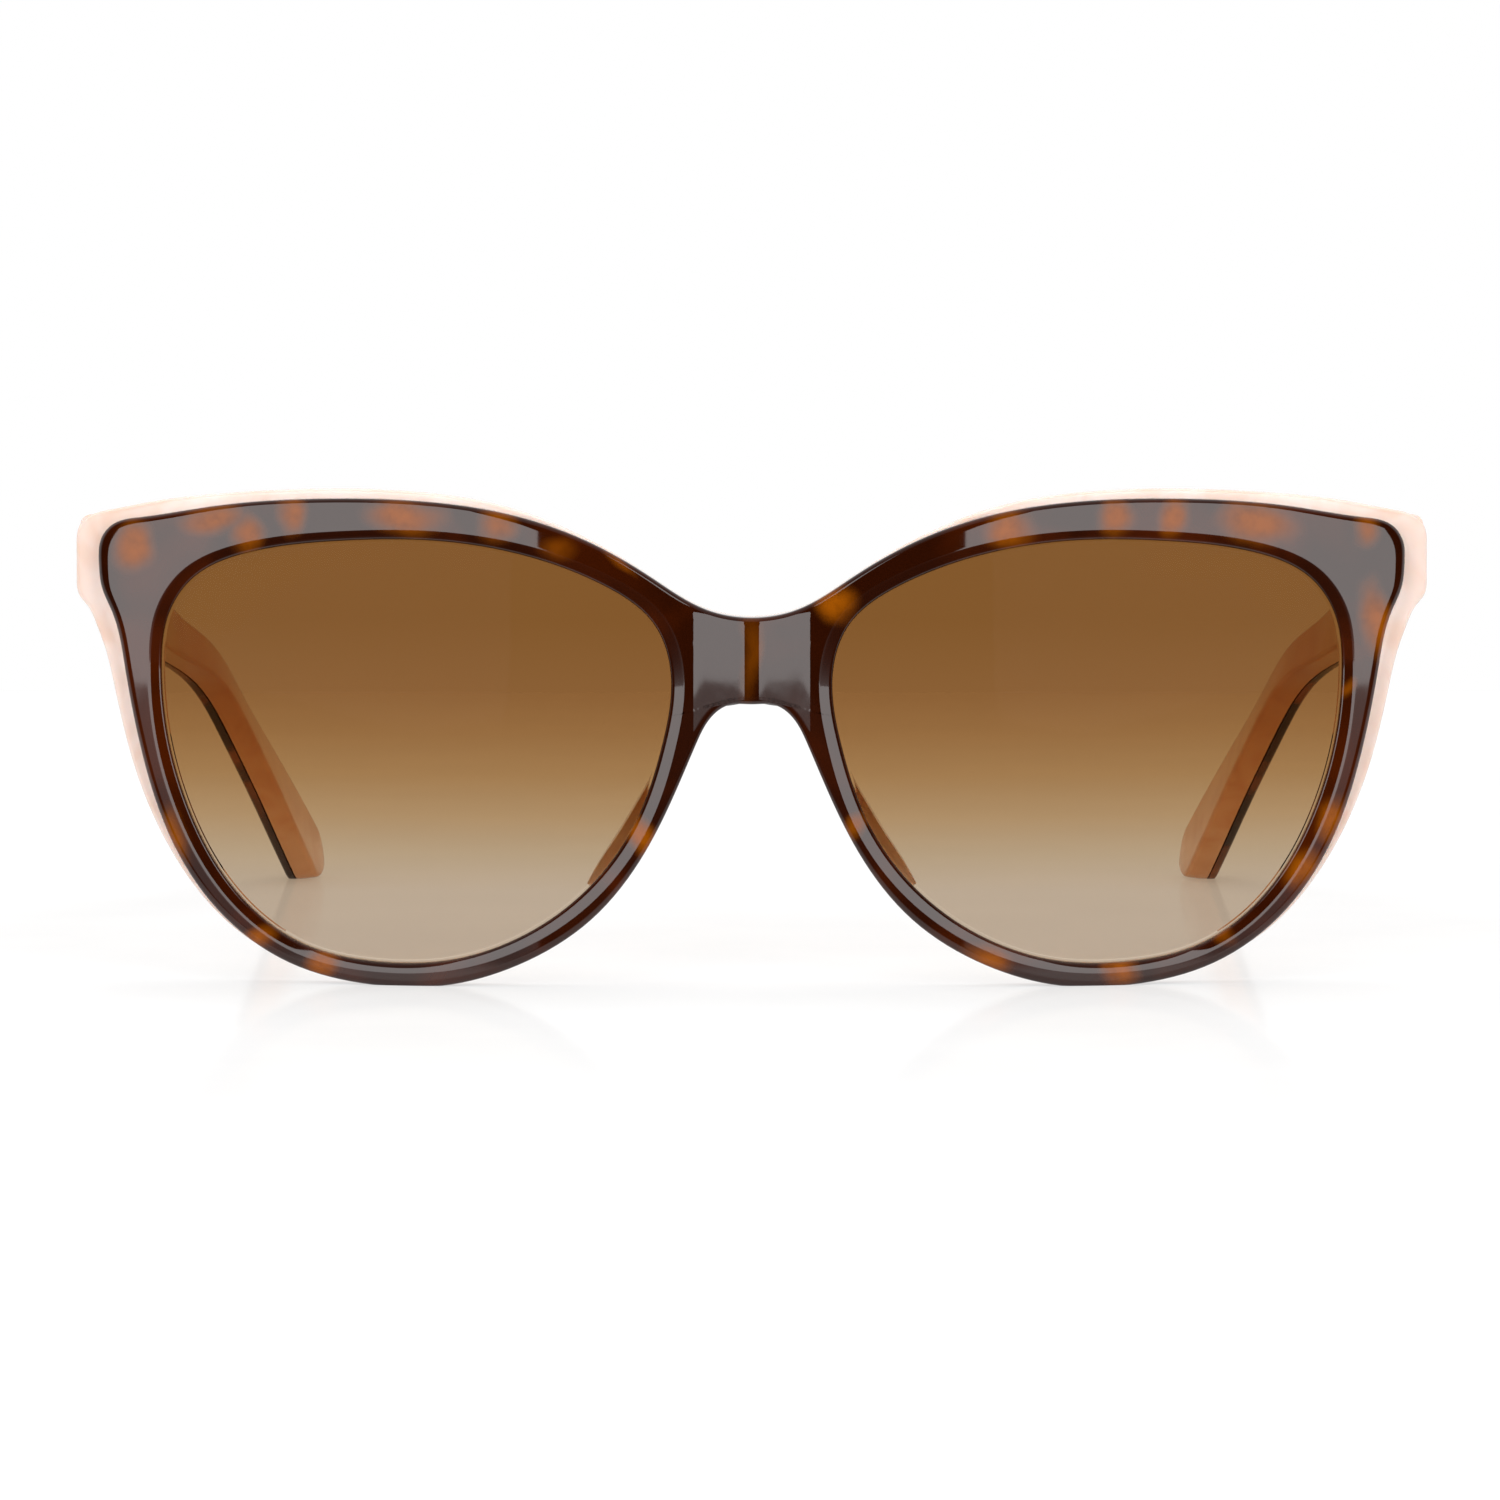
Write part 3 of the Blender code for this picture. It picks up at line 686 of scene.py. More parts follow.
class Surface:
    """A material with its object coordinates and its Principled shader at hand."""

    def __init__(self, name: str) -> None:
        """Starts a material with nothing but its shader."""
        self.material = bpy.data.materials.new(name)
        self.material.use_nodes = True
        self.nodes = Nodes(self.material.node_tree)
        self.shader = self.material.node_tree.nodes["Principled BSDF"]
        self.place = self.nodes.add("TexCoord").outputs["Object"]

    def set(self, values: dict[str, object]) -> None:
        """Sets constants on the shader, or links sockets to it."""
        feed(self.nodes.tree, self.shader, values)

    def bump(self, height: bpy.types.NodeSocket, strength: float, distance: float) -> None:
        """Feeds a height to the shader's normal.

        Args:
            height: The height, from 0 to 1.
            strength: The bump's strength.
            distance: The height of 1, in metres.
        """
        values = {"Strength": strength, "Distance": distance, "Height": height}
        node = self.nodes.add("Bump", values)
        self.set({"Normal": node.outputs[0]})


# ---- finishes -----------------------------------------------------------------------------------
@dataclass(frozen=True)
class Patch:
    """One amber patch in the tortoise sheet: its middle, half sizes, lean and strength."""

    x: float
    z: float
    wide: float
    tall: float
    lean: float = 0.0
    depth: float = 1.0


@dataclass(frozen=True)
class TortoiseAcetate:
    """Near-black brown acetate with blurred amber patches, polished to a mirror."""

    dark: Colour = (0.018, 0.0030, 0.0005)
    brown: Colour = (0.045, 0.0066, 0.0005)
    amber: Colour = (0.235, 0.058, 0.0010)
    gloss: float = 0.025
    haze: float = 0.03
    wander: float = 1.3         # how far a patch's edge strays, in mm
    core: float = 0.1           # share of a patch's half size that is full amber
    fade: float = 1.45          # share of it where the amber has faded out
    dulled: float = 0.6         # what is left of the reflection on full amber

    def patch_mask(self, surface: Surface, patches: Sequence[Patch]) -> bpy.types.NodeSocket:
        """Lays each patch in its place, with an edge that wanders.

        Args:
            surface: The material under work.
            patches: The patches.

        Returns:
            The mask of them all.
        """
        nodes = surface.nodes
        stir = nodes.add("TexNoise", {"Vector": surface.place, "Scale": 180.0, "Detail": 1.5})
        centred = nodes.add(
            "VectorMath", {0: stir.outputs["Color"], 1: (0.5, 0.5, 0.5)}, operation="SUBTRACT"
        )
        push = nodes.add(
            "VectorMath", {0: centred.outputs[0], "Scale": self.wander * 2 * MM}, operation="SCALE"
        )
        stirred = nodes.add("VectorMath", {0: surface.place, 1: push.outputs[0]}, operation="ADD")
        mask = 0.0
        for patch in patches:
            local = nodes.add(
                "Mapping",
                {
                    "Vector": stirred.outputs[0],
                    "Location": (patch.x * MM, 0.0, patch.z * MM),
                    "Rotation": (0.0, math.radians(patch.lean), 0.0),
                    "Scale": (patch.wide * MM, 1.0, patch.tall * MM),
                },
                vector_type="TEXTURE",
            )
            far = nodes.add("VectorMath", {0: local.outputs[0]}, operation="LENGTH")
            held = nodes.spread(far.outputs["Value"], self.fade, self.core, 0.0, patch.depth)
            mask = nodes.math("MAXIMUM", mask, held)
        return mask

    def make(
        self, name: str, effects: Effects, patches: Sequence[Patch] = ()
    ) -> bpy.types.Material:
        """Makes the material.

        Args:
            name: The material's name.
            effects: The shared groups.
            patches: Patches at known places. Without them they drift freely.

        Returns:
            The material.
        """
        surface = Surface(name)
        nodes = surface.nodes
        brown = nodes.group(effects.clouds, {
            "Place": surface.place, "Scale": 75.0, "Drift": 0.8, "From": 0.42, "To": 0.72,
        })
        if patches:
            amber = self.patch_mask(surface, patches)
        else:
            amber = nodes.group(effects.clouds, {
                "Place": surface.place, "Scale": 85.0, "Drift": 0.5, "From": 0.46, "To": 0.68,
            }).outputs["Mask"]
        streak = nodes.add("TexNoise", {"Vector": surface.place, "Scale": 900.0, "Detail": 3.0})
        thinned = nodes.spread(streak.outputs[0], 0.2, 0.6, 0.75, 1.0)
        broken = nodes.math("MULTIPLY", amber, thinned, clamp=True)
        ground = nodes.mix(brown.outputs["Mask"], self.dark, self.brown)
        polish = nodes.group(
            effects.polish, {"Place": surface.place, "Gloss": self.gloss, "Haze": self.haze}
        )
        surface.set({
            "Base Color": nodes.mix(broken, ground, self.amber),
            "Roughness": polish.outputs["Roughness"],
            "IOR": 1.5,
        })
        if patches:
            level = nodes.spread(amber, 0.0, 1.0, 0.5, 0.5 * self.dulled)
            surface.set({"Specular IOR Level": level})
        surface.bump(polish.outputs["Height"], 0.15, 0.02 * MM)
        return surface.material


@dataclass(frozen=True)
class PeachAcetate:
    """Milky peach acetate with faint clouds, which lets a little light through."""

    pale: Colour = (0.82, 0.66, 0.59)
    deep: Colour = (0.77, 0.56, 0.46)
    gloss: float = 0.12
    haze: float = 0.05

    def make(self, name: str, effects: Effects) -> bpy.types.Material:
        """Makes the material.

        Args:
            name: The material's name.
            effects: The shared groups.

        Returns:
            The material.
        """
        surface = Surface(name)
        nodes = surface.nodes
        clouds = nodes.group(effects.clouds, {
            "Place": surface.place, "Scale": 130.0, "Drift": 1.2, "From": 0.35, "To": 0.75,
        })
        polish = nodes.group(effects.polish, {
            "Place": surface.place, "Wave": 70.0, "Gloss": self.gloss, "Haze": self.haze,
        })
        surface.set({
            "Base Color": nodes.mix(clouds.outputs["Mask"], self.pale, self.deep),
            "Roughness": polish.outputs["Roughness"],
            "IOR": 1.49,
            "Subsurface Weight": 0.25,
            "Subsurface Radius": (1.0, 0.55, 0.35),
            "Subsurface Scale": 0.6 * MM,
            "Coat Weight": 0.3,
            "Coat Roughness": 0.05,
        })
        surface.bump(polish.outputs["Height"], 0.15, 0.02 * MM)
        return surface.material


@dataclass(frozen=True)
class GradientLens:
    """Brown lens that fades from top to bottom. Its coating leaves hardly any reflection."""

    tint: tuple[tuple[float, Colour], ...] = (
        (4.0, (0.500, 0.405, 0.310)),
        (10.0, (0.490, 0.392, 0.290)),
        (14.0, (0.450, 0.335, 0.212)),
        (18.0, (0.410, 0.265, 0.135)),
        (22.5, (0.350, 0.195, 0.078)),
        (27.0, (0.295, 0.146, 0.050)),
        (31.0, (0.258, 0.118, 0.037)),
        (39.0, (0.228, 0.099, 0.026)),
    )
    index: float = 1.06

    def make(self, name: str) -> bpy.types.Material:
        """Makes the material.

        Args:
            name: The material's name.

        Returns:
            The material.
        """
        surface = Surface(name)
        nodes = surface.nodes
        height = nodes.add("SeparateXYZ", {0: surface.place}).outputs["Z"]
        low, high = self.tint[0][0], self.tint[-1][0]
        share = nodes.add("MapRange", {0: height, 1: low * MM, 2: high * MM}).outputs[0]
        ramp = nodes.add("ValToRGB", {0: share})
        stops = ramp.color_ramp.elements
        while len(stops) < len(self.tint):
            stops.new(0.5)
        for stop, (level, colour) in zip(stops, self.tint):
            stop.position = (level - low) / (high - low)
            stop.color = (*colour, 1)
        surface.set({
            "Base Color": ramp.outputs[0],
            "Roughness": 0.0,
            "IOR": self.index,
            "Transmission Weight": 1.0,
        })
        return surface.material


@dataclass(frozen=True)
class Metal:
    """Tumbled metal with a fine grain."""

    colour: Colour = (0.62, 0.60, 0.57)
    worn: Colour = (0.46, 0.43, 0.40)
    low: float = 0.18
    high: float = 0.36

    def make(self, name: str, effects: Effects) -> bpy.types.Material:
        """Makes the material.

        Args:
            name: The material's name.
            effects: The shared groups.

        Returns:
            The material.
        """
        surface = Surface(name)
        nodes = surface.nodes
        tarnish = nodes.group(effects.clouds, {
            "Place": surface.place, "Scale": 700.0, "Drift": 0.4, "From": 0.4, "To": 0.8,
        })
        grain = nodes.group(
            effects.grain, {"Place": surface.place, "Low": self.low, "High": self.high}
        )
        surface.set({
            "Base Color": nodes.mix(tarnish.outputs["Mask"], self.colour, self.worn),
            "Roughness": grain.outputs["Roughness"],
            "Metallic": 1.0,
        })
        surface.bump(grain.outputs["Height"], 0.2, 0.01 * MM)
        return surface.material


# Amber patches of the front, first on the wearer's right and then on the left.
FRONT_PATCHES = (
    Patch(-66.0, 46.8, 1.9, 2.5, 20),
    Patch(-57.6, 49.6, 3.0, 1.4, 0, 0.9),
    Patch(-53.8, 47.9, 1.9, 2.1, 0, 0.9),
    Patch(-48.7, 50.1, 1.5, 2.0, 0, 0.9),
    Patch(-37.0, 50.0, 4.0, 1.8, 6),
    Patch(-27.0, 49.1, 1.9, 1.8, 0, 0.8),
    Patch(-20.8, 46.5, 1.8, 1.2, 20, 0.45),
    Patch(-14.2, 45.3, 2.0, 0.5, 35, 0.45),
    Patch(-0.2, 35.6, 1.0, 4.8, 0, 0.35),
    Patch(-11.8, 15.8, 1.4, 3.0, -25),
    Patch(-61.6, 15.6, 1.4, 2.8, -25, 0.9),
    Patch(-52.8, 4.5, 2.2, 1.4, -35),
    Patch(-46.0, 2.1, 1.9, 1.2, -15),
    Patch(8.9, 40.9, 2.0, 2.2, -20),
    Patch(27.3, 48.9, 2.5, 1.9, -10),
    Patch(38.6, 49.8, 2.1, 1.9, 0),
    Patch(45.0, 49.8, 1.7, 1.9, 0),
    Patch(54.0, 49.2, 3.9, 2.0, 6),
    Patch(65.8, 48.7, 1.6, 2.1, 10, 0.8),
    Patch(67.2, 38.4, 1.7, 4.0, -8),
    Patch(63.9, 31.3, 0.8, 1.1, 0, 0.6),
    Patch(62.2, 17.2, 1.5, 2.4, 25),
    Patch(58.9, 12.0, 1.6, 2.2, 30),
    Patch(50.5, 5.4, 1.7, 0.9, 35, 0.6),
    Patch(39.6, 1.5, 1.7, 1.6, 0),
    Patch(25.3, 3.0, 2.5, 1.4, 20),
    Patch(11.2, 16.9, 1.1, 1.9, 30, 0.7),
)


class Finishes:
    """Every material of the sunglasses."""

    def __init__(self) -> None:
        """Makes the shared effects and then the materials."""
        effects = Effects()
        self.front_tortoise = TortoiseAcetate().make("tortoise_front", effects, FRONT_PATCHES)
        self.temple_tortoise = TortoiseAcetate().make("tortoise_temple", effects)
        self.peach = PeachAcetate().make("peach", effects)
        # The temples' peach is deepened to orange as painted light: it stands in for the light that
        # reaches the temples through the tinted lenses.
        painted_lens_light_peach = PeachAcetate((0.74, 0.38, 0.18), (0.66, 0.28, 0.10))
        self.temple_peach = painted_lens_light_peach.make("peach_temple", effects)
        self.lens = GradientLens().make("gradient_lens")
        self.hinge = Metal().make("hinge_metal", effects)
        bright = Metal((0.70, 0.68, 0.65), (0.52, 0.50, 0.47), 0.12, 0.3)
        self.screw = bright.make("screw_metal", effects)
        drawn = Metal((0.55, 0.56, 0.58), (0.40, 0.40, 0.42), 0.25, 0.45)
        self.core = drawn.make("core_metal", effects)


def hand_over(
    piece: bpy.types.Object, look: bpy.types.Material, body: str, slot: Slot, *nodes: str
) -> None:
    """Dresses a finished piece, hangs it on the body that it moves with and hides the solids that it
    stands for.

    Args:
        piece: The finished piece.
        look: Its material.
        body: The body that it moves with.
        slot: The record's slot that its finish comes from. It is not used.
        *nodes: The solids that it stands for.
    """
    piece.data.materials.clear()
    piece.data.materials.append(look)
    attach(piece, body)
    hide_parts(*nodes)
    log.info("%s: %d faces, rides on %s", piece.name, len(piece.data.polygons), body)


# ---- front --------------------------------------------------------------------------------------
# Both layers of the front share these stretches of their outlines.
BRIDGE_TOP = ((0.0, 39.5), (4.8, 40.3), (10.5, 43.6))
NOSE_EDGE = (
    (40.5, 0.0), (33.0, 0.0), (24.9, 2.3), (17.1, 7.2), (11.3, 14.5), (8.0, 21.1), (5.9, 26.0),
    (4.0, 29.2), (2.4, 30.2), (0.0, 30.3),
)


@dataclass(frozen=True)
class LensOpening:
    """The hole in a rim, and the groove round it that holds the lens."""

    centre: Vector = field(default_factory=lambda: Vector((36.0, 25.0)))
    groove: float = 0.95
    points: tuple[tuple[float, float], ...] = (
        (63.25, 33.8), (62.6, 39.0), (59.9, 43.2), (53.5, 46.15), (44.0, 47.4),
        (34.0, 47.5), (24.3, 46.0),
        (15.7, 42.8), (10.3, 38.6), (8.6, 33.3), (9.5, 26.0), (12.5, 17.4),
        (17.6, 10.4), (24.3, 5.5),
        (32.0, 2.8), (40.1, 2.5), (48.1, 4.3), (55.2, 9.7), (60.5, 18.9), (62.8, 27.5),
    )

    def reaches(self, rays: Sequence[Vector]) -> list[float]:
        """Measures the hole.

        Args:
            rays: Directions from its centre.

        Returns:
            How far each ray runs before it meets the edge.
        """
        loop = np.array([tuple(point - self.centre) for point in smooth_loop(self.points, 24)])
        angles = np.arctan2(loop[:, 1], loop[:, 0])
        order = np.argsort(angles)
        lengths = np.linalg.norm(loop, axis=1)
        found = np.interp(
            [math.atan2(ray.y, ray.x) for ray in rays], angles[order], lengths[order],
            period=2 * math.pi,
        )
        return [float(length) for length in found]


@dataclass(frozen=True)
class Rim:
    """The outline of one half of the front, from the top of the bridge round to its underside."""

    half: tuple[tuple[float, float], ...]
    steps: int = 8
    bridge_steps: int = 12

    def lay_out(
        self, opening: LensOpening
    ) -> tuple[list[Vector], list[Vector], list[Vector], list[float]]:
        """Samples the half outline and the lens opening that faces it.

        Args:
            opening: The lens opening.

        Returns:
            The samples, their outward directions, the rays to them from the lens centre, and how
            far each ray runs before it meets the opening.
        """
        mirrored = [(-x, z) for x, z in reversed(self.half[1:-1])]
        whole = smooth_loop([*self.half, *mirrored], self.steps)
        last = (len(self.half) - 1) * self.steps
        outer, outward = [], []
        for i in range(last + 1):
            along = whole[(i + 1) % len(whole)] - whole[i - 1]
            outer.append(whole[i])
            outward.append(Vector((-along.y, along.x)).normalized())
        outer[0].x = outer[-1].x = 0.0
        outward[0], outward[-1] = Vector((0.0, 1.0)), Vector((0.0, -1.0))
        top, bottom = outer[0], outer[-1]
        for i in range(1, self.bridge_steps):
            outer.append(bottom.lerp(top, i / self.bridge_steps))
            outward.append(Vector((0.0, 0.0)))
        rays = [(point - opening.centre).normalized() for point in outer]
        return outer, outward, rays, opening.reaches(rays)

    def grow(
        self, name: str, opening: LensOpening, edge: Profile, hole: Profile, columns: int,
        lay: Callable[[Vector, float], Vector], flare: float = 0.0,
    ) -> Growth:
        """Sweeps a layer's section round the rim and mirrors it.

        Args:
            name: The piece's name.
            opening: The lens opening.
            edge: The outer part of the section, as inset and depth, from the face to the back.
            hole: The part round the lens, as distance out from it and depth, back to face.
            columns: How many faces cross the front of the layer.
            lay: Turns a point of the drawing and a depth into a place.
            flare: How much further the part round the lens spreads on the lens's left and right.

        Returns:
            The layer, still in edit mode.
        """
        outer, outward, rays, lengths = self.lay_out(opening)
        count = range(len(outer))
        widths = [1 + flare * ray.x**2 for ray in rays]
        rings = [
            [lay(outer[i] - inset * outward[i], deep) for i in count] for inset, deep in edge
        ]
        rings += [
            [
                lay(opening.centre + (lengths[i] + widths[i] * out) * rays[i], deep)
                for i in count
            ]
            for out, deep in hole
        ]
        (start, start_deep), (end, _) = hole[-1], edge[0]
        for k in range(1, columns):
            share = k / columns
            rings.append([
                lay(
                    (opening.centre + (lengths[i] + widths[i] * start) * rays[i]).lerp(
                        outer[i] - end * outward[i], share,
                    ),
                    start_deep,
                )
                for i in count
            ])
        return Growth(name, rings[0]).grow(*rings[1:]).close().mirror().stand()


@dataclass(frozen=True)
class HingeSizes:
    """Places and sizes that the hinge shares with the acetate it is sunk in."""

    axis: Vector = field(default_factory=lambda: Vector((66.5, FRONT_Y + 18.7)))
    seat_y: float = FRONT_Y + 17.0
    middle_z: float = 45.3
    leaf_thick: float = 0.9
    leaf_tall: float = 6.4
    temple_leaf_tall: float = 4.6
    leaf_low_x: float = 62.9
    leaf_high_x: float = 67.3
    temple_leaf_x: float = 68.23
    temple_leaf_y: float = FRONT_Y + 17.65
    temple_leaf_long: float = 7.5
    front_web_x: tuple[float, float] = (-1.35, 0.35)    # of its web, from the axis
    front_web_y: tuple[float, float] = (-0.4, -0.3)     # from the seat, and from the axis
    temple_web_x: tuple[float, float] = (0.3, 0.4)      # from the axis, and from the leaf
    temple_web_y: tuple[float, float] = (-0.95, 0.75)
    play: float = 0.12
    knuckles: int = 5
    knuckle_radius: float = 1.5
    knuckle_tall: float = 1.24
    knuckle_gap: float = 0.10
    bore: float = 0.75
    bore_reach: float = 6.0
    screw_radius: float = 0.70
    screw_foot: float = 0.2
    slot_reach: float = 2.0     # of the cutter for the slot, from the axis
    screw_round: float = 0.1
    head_round: float = 0.16
    head_radius: float = 1.15
    head_tall: float = 0.55
    slot_wide: float = 0.35
    slot_deep: float = 0.3
    soften: float = 0.08

    def knuckle(self, number: int) -> tuple[float, float]:
        """The lowest and highest z of a knuckle, counted from the bottom."""
        pitch = self.knuckle_tall + self.knuckle_gap
        low = self.middle_z - (self.knuckles * pitch - self.knuckle_gap) / 2 + number * pitch
        return low, low + self.knuckle_tall


@dataclass
class Front:
    """The laminated front: a tortoise face on a peach back, with lenses and nose pads."""

    finishes: Finishes
    hinge: HingeSizes
    curve: FaceCurve = field(default_factory=FaceCurve)
    opening: LensOpening = field(default_factory=LensOpening)
    columns: int = 14
    tortoise_thick: float = 2.1
    layer_gap: float = 0.15
    front_thick: float = 4.4
    edge_bevel: float = 0.45
    edge_bevel_deep: float = 0.35
    lens_bevel: float = 0.9
    lens_bevel_deep: float = 0.42
    lens_bevel_flare: float = 0.56
    peach_round: float = 0.5
    lens_thick: float = 1.75
    lens_bulge: float = 0.9
    lens_edge: float = 0.62
    lens_samples: int = 168
    lug: tuple[tuple[float, float], tuple[float, float]] = ((62.2, 41.0), (72.4, 49.9))
    lug_round: float = 0.8
    lug_corner: float = 1.4
    lug_root: float = 1.0       # how deep an end piece starts inside the layer
    pad_flare: float = 0.05
    tortoise_rim: Rim = field(default_factory=lambda: Rim((
        *BRIDGE_TOP, (17.6, 47.6), (26.0, 50.4), (36.0, 51.75), (46.0, 51.9), (57.7, 51.0),
        (65.6, 49.75), (68.5, 49.0), (69.8, 47.5), (70.1, 44.6), (69.8, 42.2), (68.7, 39.6),
        (67.3, 33.6), (65.7, 25.4), (62.65, 15.9), (57.35, 7.8), (49.5, 2.2), *NOSE_EDGE,
    )))
    peach_rim: Rim = field(default_factory=lambda: Rim((
        *BRIDGE_TOP, (17.6, 47.75), (26.0, 51.05), (36.0, 52.65), (46.0, 52.9), (55.0, 52.45),
        (63.6, 51.5), (69.0, 50.45), (71.2, 49.8), (72.4, 48.7), (72.75, 46.6), (72.75, 43.3),
        (72.5, 41.3), (71.5, 40.0), (70.7, 38.4), (69.6, 35.4), (68.5, 30.8), (66.4, 22.6),
        (62.1, 13.2), (56.4, 6.3), (49.2, 1.95), *NOSE_EDGE,
    )))
    # Down the nose: place, nose edge x and z and lens edge x and z of the foot, stand-off.
    pad_rows: tuple[tuple[float, ...], ...] = (
        (0.0, 6.0, 27.4, 9.1, 28.2, 0.6), (3.0, 7.1, 24.6, 9.7, 25.2, 3.0),
        (6.5, 8.6, 21.2, 10.9, 22.0, 5.2), (10.0, 10.3, 18.0, 12.6, 19.0, 6.2),
        (13.5, 12.2, 15.0, 14.3, 16.2, 5.6),
        (17.0, 14.3, 12.1, 16.2, 13.3, 3.4), (20.0, 16.4, 9.8, 17.6, 10.8, 0.6),
    )
    # Across a pad: place, share of the way across, share of the stand-off.
    pad_profile: tuple[tuple[float, float, float], ...] = (
        (0.0, 0.04, 0.0), (1.0, 0.0, 0.2), (2.0, 0.1, 0.58), (3.0, 0.28, 0.9), (4.0, 0.5, 1.0),
        (5.0, 0.72, 0.92), (6.0, 0.92, 0.58), (7.0, 1.0, 0.2), (8.0, 0.96, 0.0),
    )

    def raised(self, flat: Vector, depth: float) -> Vector:
        """A point behind the face, which follows the bridge's rise less towards the back."""
        share = max(0.0, 1 - depth / self.tortoise_thick)
        level = self.curve.point(flat, depth, raised=False)
        return level.lerp(self.curve.point(flat, depth), min(1.0, 2 * share))

    def level(self, flat: Vector, depth: float) -> Vector:
        """A point behind the rims' face, with no rise at the bridge."""
        return self.curve.point(flat, depth, raised=False)

    def build(self) -> None:
        """Builds the whole front."""
        self.tortoise_face()
        self.peach_back()
        for build, name, look, slot, node in (
            (self.lens, "lens_glass", self.finishes.lens, Slot.LENS, "lens"),
            (self.nose_pad, "nose_rest", self.finishes.peach, Slot.PEACH, "nose_pad"),
        ):
            left = build(f"{name}_left")
            right = other_side(left, f"{name}_right")
            for side, piece in ((Side.LEFT, left), (Side.RIGHT, right)):
                hand_over(piece, look, "front", slot, f"{node}_{side.word}")

    def tortoise_face(self) -> None:
        """The dark face, with a narrow bevel outside and a wide one down to each lens."""
        thick = self.tortoise_thick
        edge = eased([
            (self.edge_bevel + 0.6, 0.0, 0), (self.edge_bevel, 0.0, 0.3),
            (0.0, self.edge_bevel_deep, 0.28), (0.0, thick, 0.08), (1.0, thick, 0),
        ])[1:-1]
        hole = eased([
            (2.0, thick, 0), (self.opening.groove, thick, 0), (0.0, thick - self.opening.groove, 0),
            (0.0, self.lens_bevel_deep, 0.3), (self.lens_bevel, 0.0, 0.16), (2.0, 0.0, 0),
        ], 5)[1:-1]
        piece = self.tortoise_rim.grow(
            "tortoise_face", self.opening, edge, hole, self.columns, self.raised,
            self.lens_bevel_flare,
        ).done()
        look = self.finishes.front_tortoise
        hand_over(piece, look, "front", Slot.TORTOISE, "front_tortoise_layer")

    def peach_back(self) -> None:
        """The peach layer behind the face, with the blocks that carry the hinges."""
        front, back = self.tortoise_thick + self.layer_gap, self.front_thick
        edge = eased([
            (1.5, front, 0), (0.0, front, self.peach_round), (0.0, back, self.peach_round),
            (1.5, back, 0),
        ])[1:-1]
        hole = eased([
            (2.0, back, 0), (0.0, back, self.peach_round), (0.0, front + self.opening.groove, 0),
            (self.opening.groove, front, 0), (2.0, front, 0),
        ])[1:-1]
        piece = self.peach_rim.grow("peach_back", self.opening, edge, hole, 4, self.level).done()
        lug, pocket = self.end_piece("end_piece"), self.leaf_pocket("leaf_pocket")
        combine(piece, "UNION", lug, other_side(lug, "end_piece_right"))
        combine(piece, "DIFFERENCE", pocket, other_side(pocket, "leaf_pocket_right"))
        close_up(piece)
        hand_over(piece, self.finishes.peach, "front", Slot.PEACH, "front_peach_layer")

    def end_piece(self, name: str) -> bpy.types.Object:
        """The block behind the outer end of the brow, which the temple butts against."""
        (low_x, low_z), (high_x, high_z) = self.lug

        def outline(inset: float) -> Profile:
            corners = (
                (low_x + inset, low_z + inset), (high_x - inset, low_z + inset),
                (high_x - inset, high_z - inset), (low_x + inset, high_z - inset),
            )
            return eased([(*corner, self.lug_corner) for corner in corners], 6, closed=True)

        rings = [[self.level(flat, self.front_thick - self.lug_root) for flat in outline(0.0)]]
        for inset, rise in eased([(0.0, -1.0, 0), (0.0, 0.0, self.lug_round), (3.0, 0.0, 0)])[1:-1]:
            y = self.hinge.seat_y + rise
            rings.append([Vector((flat.x, y, flat.y)) for flat in outline(inset)])
        return Growth(name, rings[0]).grow(*rings[1:]).cap().done()

    def leaf_pocket(self, name: str) -> bpy.types.Object:
        """The pocket that the hinge's front leaf is sunk in."""
        sizes = self.hinge
        half = sizes.leaf_tall / 2 + sizes.play
        floor = sizes.seat_y - sizes.leaf_thick - sizes.play
        low = (sizes.leaf_low_x - sizes.play, floor, sizes.middle_z - half)
        high = (sizes.leaf_high_x + sizes.play, sizes.seat_y + CUTTER, sizes.middle_z + half)
        return block(name, low, high)

    def lens(self, name: str) -> bpy.types.Object:
        """A lens that bulges forwards, with the V edge that sits in the groove.

        Args:
            name: The object's name.

        Returns:
            The lens on the wearer's left.
        """
        middle = self.tortoise_thick + self.layer_gap / 2
        turns = [2 * math.pi * i / self.lens_samples for i in range(self.lens_samples)]
        rays = [Vector((math.cos(turn), math.sin(turn))) for turn in turns]
        lengths = self.opening.reaches(rays)

        def ring(share: float, depth: float, out: float = -0.2) -> list[Vector]:
            bulge = self.lens_bulge * (1 - share * share)
            return [
                self.level(self.opening.centre + share * (length + out) * ray, depth - bulge)
                for ray, length in zip(rays, lengths)
            ]

        shares = [0.02, *(k / 12 for k in range(1, 13))]
        front = [ring(share, middle - self.lens_thick / 2) for share in shares]
        back = [ring(share, middle + self.lens_thick / 2) for share in reversed(shares)]
        rings = [*front, ring(1.0, middle, self.lens_edge), *back]
        return Growth(name, rings[0]).grow(*rings[1:]).cap().done()

    def nose_pad(self, name: str) -> bpy.types.Object:
        """A pad bonded behind the rim, thickest in its middle and flared like the nose.

        Args:
            name: The object's name.

        Returns:
            The pad on the wearer's left.
        """
        base = self.front_thick + self.layer_gap
        profile = [(row[1], row[2]) for row in smooth_path(self.pad_profile, 3)]
        rings = []
        for _, nose_x, nose_z, lens_x, lens_z, stand in smooth_path(self.pad_rows, 6):
            nose, glass = Vector((nose_x, nose_z)), Vector((lens_x, lens_z))
            flare = Vector((float(self.pad_flare * stand), 0.0))
            rings.append([
                self.level(
                    nose + (glass - nose) * float(share) + flare * float(deep),
                    base + float(stand * deep),
                )
                for share, deep in profile
            ])
        return Growth(name, rings[0]).grow(*rings[1:]).cap().done()


